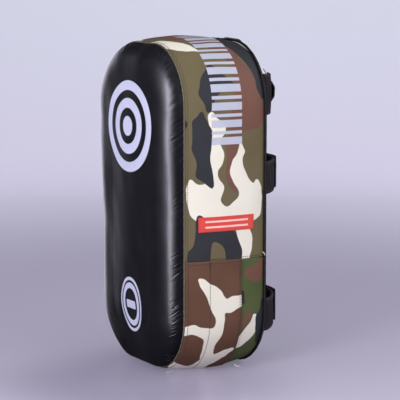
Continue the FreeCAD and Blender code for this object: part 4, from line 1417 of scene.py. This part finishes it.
def hanging_loop():
    """A webbing loop from the top of the back seam. It stands up a little and droops behind."""
    half = mm_box("hanging_loop")[1][0]
    line = curve_points([
        (57.0, 388.0), (57.2, 393.5), (59.5, 397.6), (63.5, 399.8), (68.0, 399.4), (72.5, 395.8),
        (76.8, 389.6), (80.0, 383.2), (80.8, 378.6), (78.0, 376.2), (74.2, 378.2), (70.0, 383.6),
        (65.6, 389.4), (61.8, 391.8), (60.2, 390.0), (59.9, 384.0)], 6)
    length, _ = measured(line)
    surface = ribbon(line, lambda y, z, u, v: triple(-v, y, z + 0.5 * np.sin(u / 14) * v / half))
    us, vs = steps(0, length, 1.4, 0.7), steps(-half, half, 1.4, 0.7)
    obj = sheet("hanging_loop_webbing", us, vs, surface, WEBBING_THICK)
    # black is the webbing's own dark colour, shown in the weave's hollows as painted shade; worn is its
    # lighter colour on the rib tops.
    black, worn = srgb(22, 21, 25), srgb(58, 55, 62)
    webbing = woven("loop_webbing", black, worn, rib=2.0, cross=1.2, depth=0.25, roughness=0.75)
    hem, edge = length - 4, half - 2
    rows = [row(surface, [(hem, -edge), (hem, edge)], way, WEBBING_THICK / 2) for way in (1, -1)]
    bend = ("pad", "hanging_loop", (0, 58, 396), (0, 64.5, 397))
    finish_piece(obj, "webbing", webbing, "hanging_loop", sewn=sewing(rows, 3.0, 2.3, 0.32), body=bend)


# ---------------------------------------------------------------- forearm cushion


def cushion():
    """The padded panel the forearm lies on: puffed between sewn channels."""
    low, high = mm_box("forearm_cushion")
    base, thick = low[1], high[1] - low[1]
    wide, corner, bottom, top = 58.0, 18.0, 26.0, 300.0
    centre, half_tall = (bottom + top) / 2, (top - bottom) / 2
    channels = [bottom + (top - bottom) * part for part in (0.2, 0.4, 0.6, 0.8)]

    def padding(x, z):
        """Height over the base, the share of full thickness, and the distances from edge and channel."""
        depth = np.clip(box_distance(np.abs(x) - wide, np.abs(z - centre) - half_tall, corner), 0, None)
        seam = np.min([np.abs(z - channel) for channel in channels], axis=0)
        puff = np.sqrt(share(1 - (1 - share(depth / 9)) ** 2))
        sewn = 1 - 0.62 * np.exp(-((seam / 4.2) ** 2)) * share(depth / 6)
        return thick * (0.12 + 0.98 * puff) * sewn, puff, depth, seam

    across, upward = np.meshgrid(np.linspace(-1, 1, 61), np.linspace(-1, 1, 137), indexing="ij")
    z = centre + upward * half_tall
    shift = np.clip(np.abs(z - centre) - (half_tall - corner), 0, corner)
    x = across * (wide - corner + np.sqrt(np.maximum(corner**2 - shift**2, 0)))
    rise, puff, depth, seam = padding(x, z)
    pucker = 0.22 * np.sin(x / 1.5) * np.exp(-((seam / 3.5) ** 2)) * puff
    y = base + 0.05 + rise + 0.25 * ripple(x, z, 28, 91) * puff + pucker
    front, back = triple(x, y, z).reshape(-1, 3), triple(x, np.full(x.shape, base + 0.02), z).reshape(-1, 3)
    index = np.arange(x.size).reshape(x.shape)
    rim = np.concatenate([index[:, 0], index[-1, 1:], index[-2::-1, -1], index[0, -2::-1]])
    walls = grid_faces(np.stack([rim, rim + x.size], axis=-1))
    faces = np.concatenate([grid_faces(index)[:, ::-1], grid_faces(index) + x.size, walls])
    cloth = np.tile(triple(x, z, depth).reshape(-1, 3), (2, 1))
    obj = make_object("forearm_cushion_cover", np.concatenate([front, back]), faces, {"cloth": cloth})
    held = (depth < 1.2) | (seam < 1.4)
    pinned = np.concatenate([held.ravel(), np.ones(x.size, bool)])
    inflate(obj, pinned, frames=10, limit=1.5, passes=3)
    black, rubbed = srgb(26, 24, 28), srgb(44, 41, 48)
    shader, *look = coated_leather("cushion_leather", black, rubbed, 0.55, grain_depth=0.08)

    def surface(u, v):
        return triple(u, base + padding(u, v)[0] + 0.25, v)

    sewn = sewing([row(surface, [(4 - wide, z), (wide - 4, z)], -1) for z in channels], 3.6, 2.7, 0.34)
    finish_piece(obj, "back_leather", shader.done(*look), "forearm_cushion", sewn=sewn)


# ---------------------------------------------------------------- studio


def aim(obj, azimuth, elevation, distance):
    """Puts a light or the camera round the pad, facing it. The azimuth is 0 in front of the strike face."""
    a, e = math.radians(azimuth), math.radians(elevation)
    direction = Vector((math.sin(a) * math.cos(e), -math.cos(a) * math.cos(e), math.sin(e)))
    obj.location = Vector((0, 0, 0.2)) + direction * distance
    obj.rotation_euler = direction.to_track_quat("Z", "Y").to_euler()


def softbox(name, azimuth, elevation, distance, width, height, power, color):
    light = bpy.data.lights.new(name, "AREA")
    light.shape = "RECTANGLE"
    light.size, light.size_y = width, height
    light.energy, light.color = power, color
    obj = link(bpy.data.objects.new(name, light))
    aim(obj, azimuth, elevation, distance)
    return obj


def lights():
    for name, azimuth, elevation, distance, width, height, power, color in (
        ("key", 30, 12, 1.7, 0.5, 1.5, 25, (1.0, 0.98, 1.0)),
        ("fill", 106, 22, 2.1, 1.5, 1.5, 11.8, (1.0, 1.0, 0.95)),
        ("overhead", 75, 78, 2.1, 2.0, 2.0, 12, (0.98, 0.99, 1.0)),
        ("back", 160, 32, 2.1, 1.4, 1.2, 11, (0.97, 0.98, 1.0)),
    ):
        softbox(name, azimuth, elevation, distance, width, height, power, color)
    # Strip lights that only show as highlights, and only on the black face.
    face = bpy.data.collections.new("face")
    face.objects.link(bpy.data.objects["strike_cover_leather"])
    for name, azimuth, elevation, width, height, power in (
        ("sheen", 13, 12, 0.42, 1.7, 150), ("edge", -92, 0, 0.7, 1.0, 7),
    ):
        strip = softbox(name, azimuth, elevation, 1.6, width, height, power, (0.88, 0.86, 1.0))
        strip.visible_diffuse = strip.visible_camera = False
        strip.light_linking.receiver_collection = face


def backdrop():
    """A pale seamless sweep behind the pad, seen from the camera."""
    azimuth = math.radians(CAMERA_AZIMUTH)
    ahead = np.array([-math.sin(azimuth), math.cos(azimuth), 0])
    aside = np.array([math.cos(azimuth), math.sin(azimuth), 0])
    bend, wall, reach, height = 900.0, 1500.0, 9000.0, 4200.0
    curve = [(wall + bend * math.sin(t), bend * (1 - math.cos(t))) for t in np.linspace(0, math.pi / 2, 24)]
    profile = [(-reach, 0.0), *curve, (wall + bend, height)]
    points = [ahead * run + aside * side + (0, 0, rise) for run, rise in profile for side in (-reach, reach)]
    index = np.arange(len(points)).reshape(-1, 2)
    sweep = make_object("backdrop", points, grid_faces(index)[:, ::-1])
    sweep.data.materials.append(backdrop_paper())
    sweep.visible_glossy = False


def room():
    """Soft light from all round. It is dim in reflections, so that black leather stays black."""
    world = bpy.data.worlds.new("studio")
    world.use_nodes = True
    nodes, links = world.node_tree.nodes, world.node_tree.links
    background = nodes["Background"].inputs
    background["Color"].default_value = srgb(214, 214, 226)
    rays = nodes.new("ShaderNodeLightPath")
    strength = nodes.new("ShaderNodeMapRange")
    strength.inputs["To Min"].default_value, strength.inputs["To Max"].default_value = 0.22, 0.06
    seen = nodes.new("ShaderNodeMath")
    seen.operation = "MAXIMUM"
    links.new(rays.outputs["Is Glossy Ray"], strength.inputs["Value"])
    links.new(strength.outputs["Result"], seen.inputs[0])
    links.new(rays.outputs["Is Camera Ray"], seen.inputs[1])
    links.new(seen.outputs[0], background["Strength"])
    bpy.context.scene.world = world
    bpy.context.scene.view_settings.view_transform = "Standard"


def camera():
    lens = bpy.data.cameras.new("camera")
    lens.lens, lens.sensor_width = CAMERA_LENS, 36
    lens.shift_x, lens.shift_y = CAMERA_SHIFT
    obj = link(bpy.data.objects.new("camera", lens))
    aim(obj, CAMERA_AZIMUTH, CAMERA_ELEVATION, CAMERA_DISTANCE)
    bpy.context.scene.camera = obj


# ---------------------------------------------------------------- the model

for build in (
    foams, strike_cover, back_cover, gusset, gusset_stitching, welt, binding, labels, cushion, straps,
    handle_strap, grip, hanging_loop, thread_ends, fastener_tapes, backdrop, lights, room, camera,
):
    build()
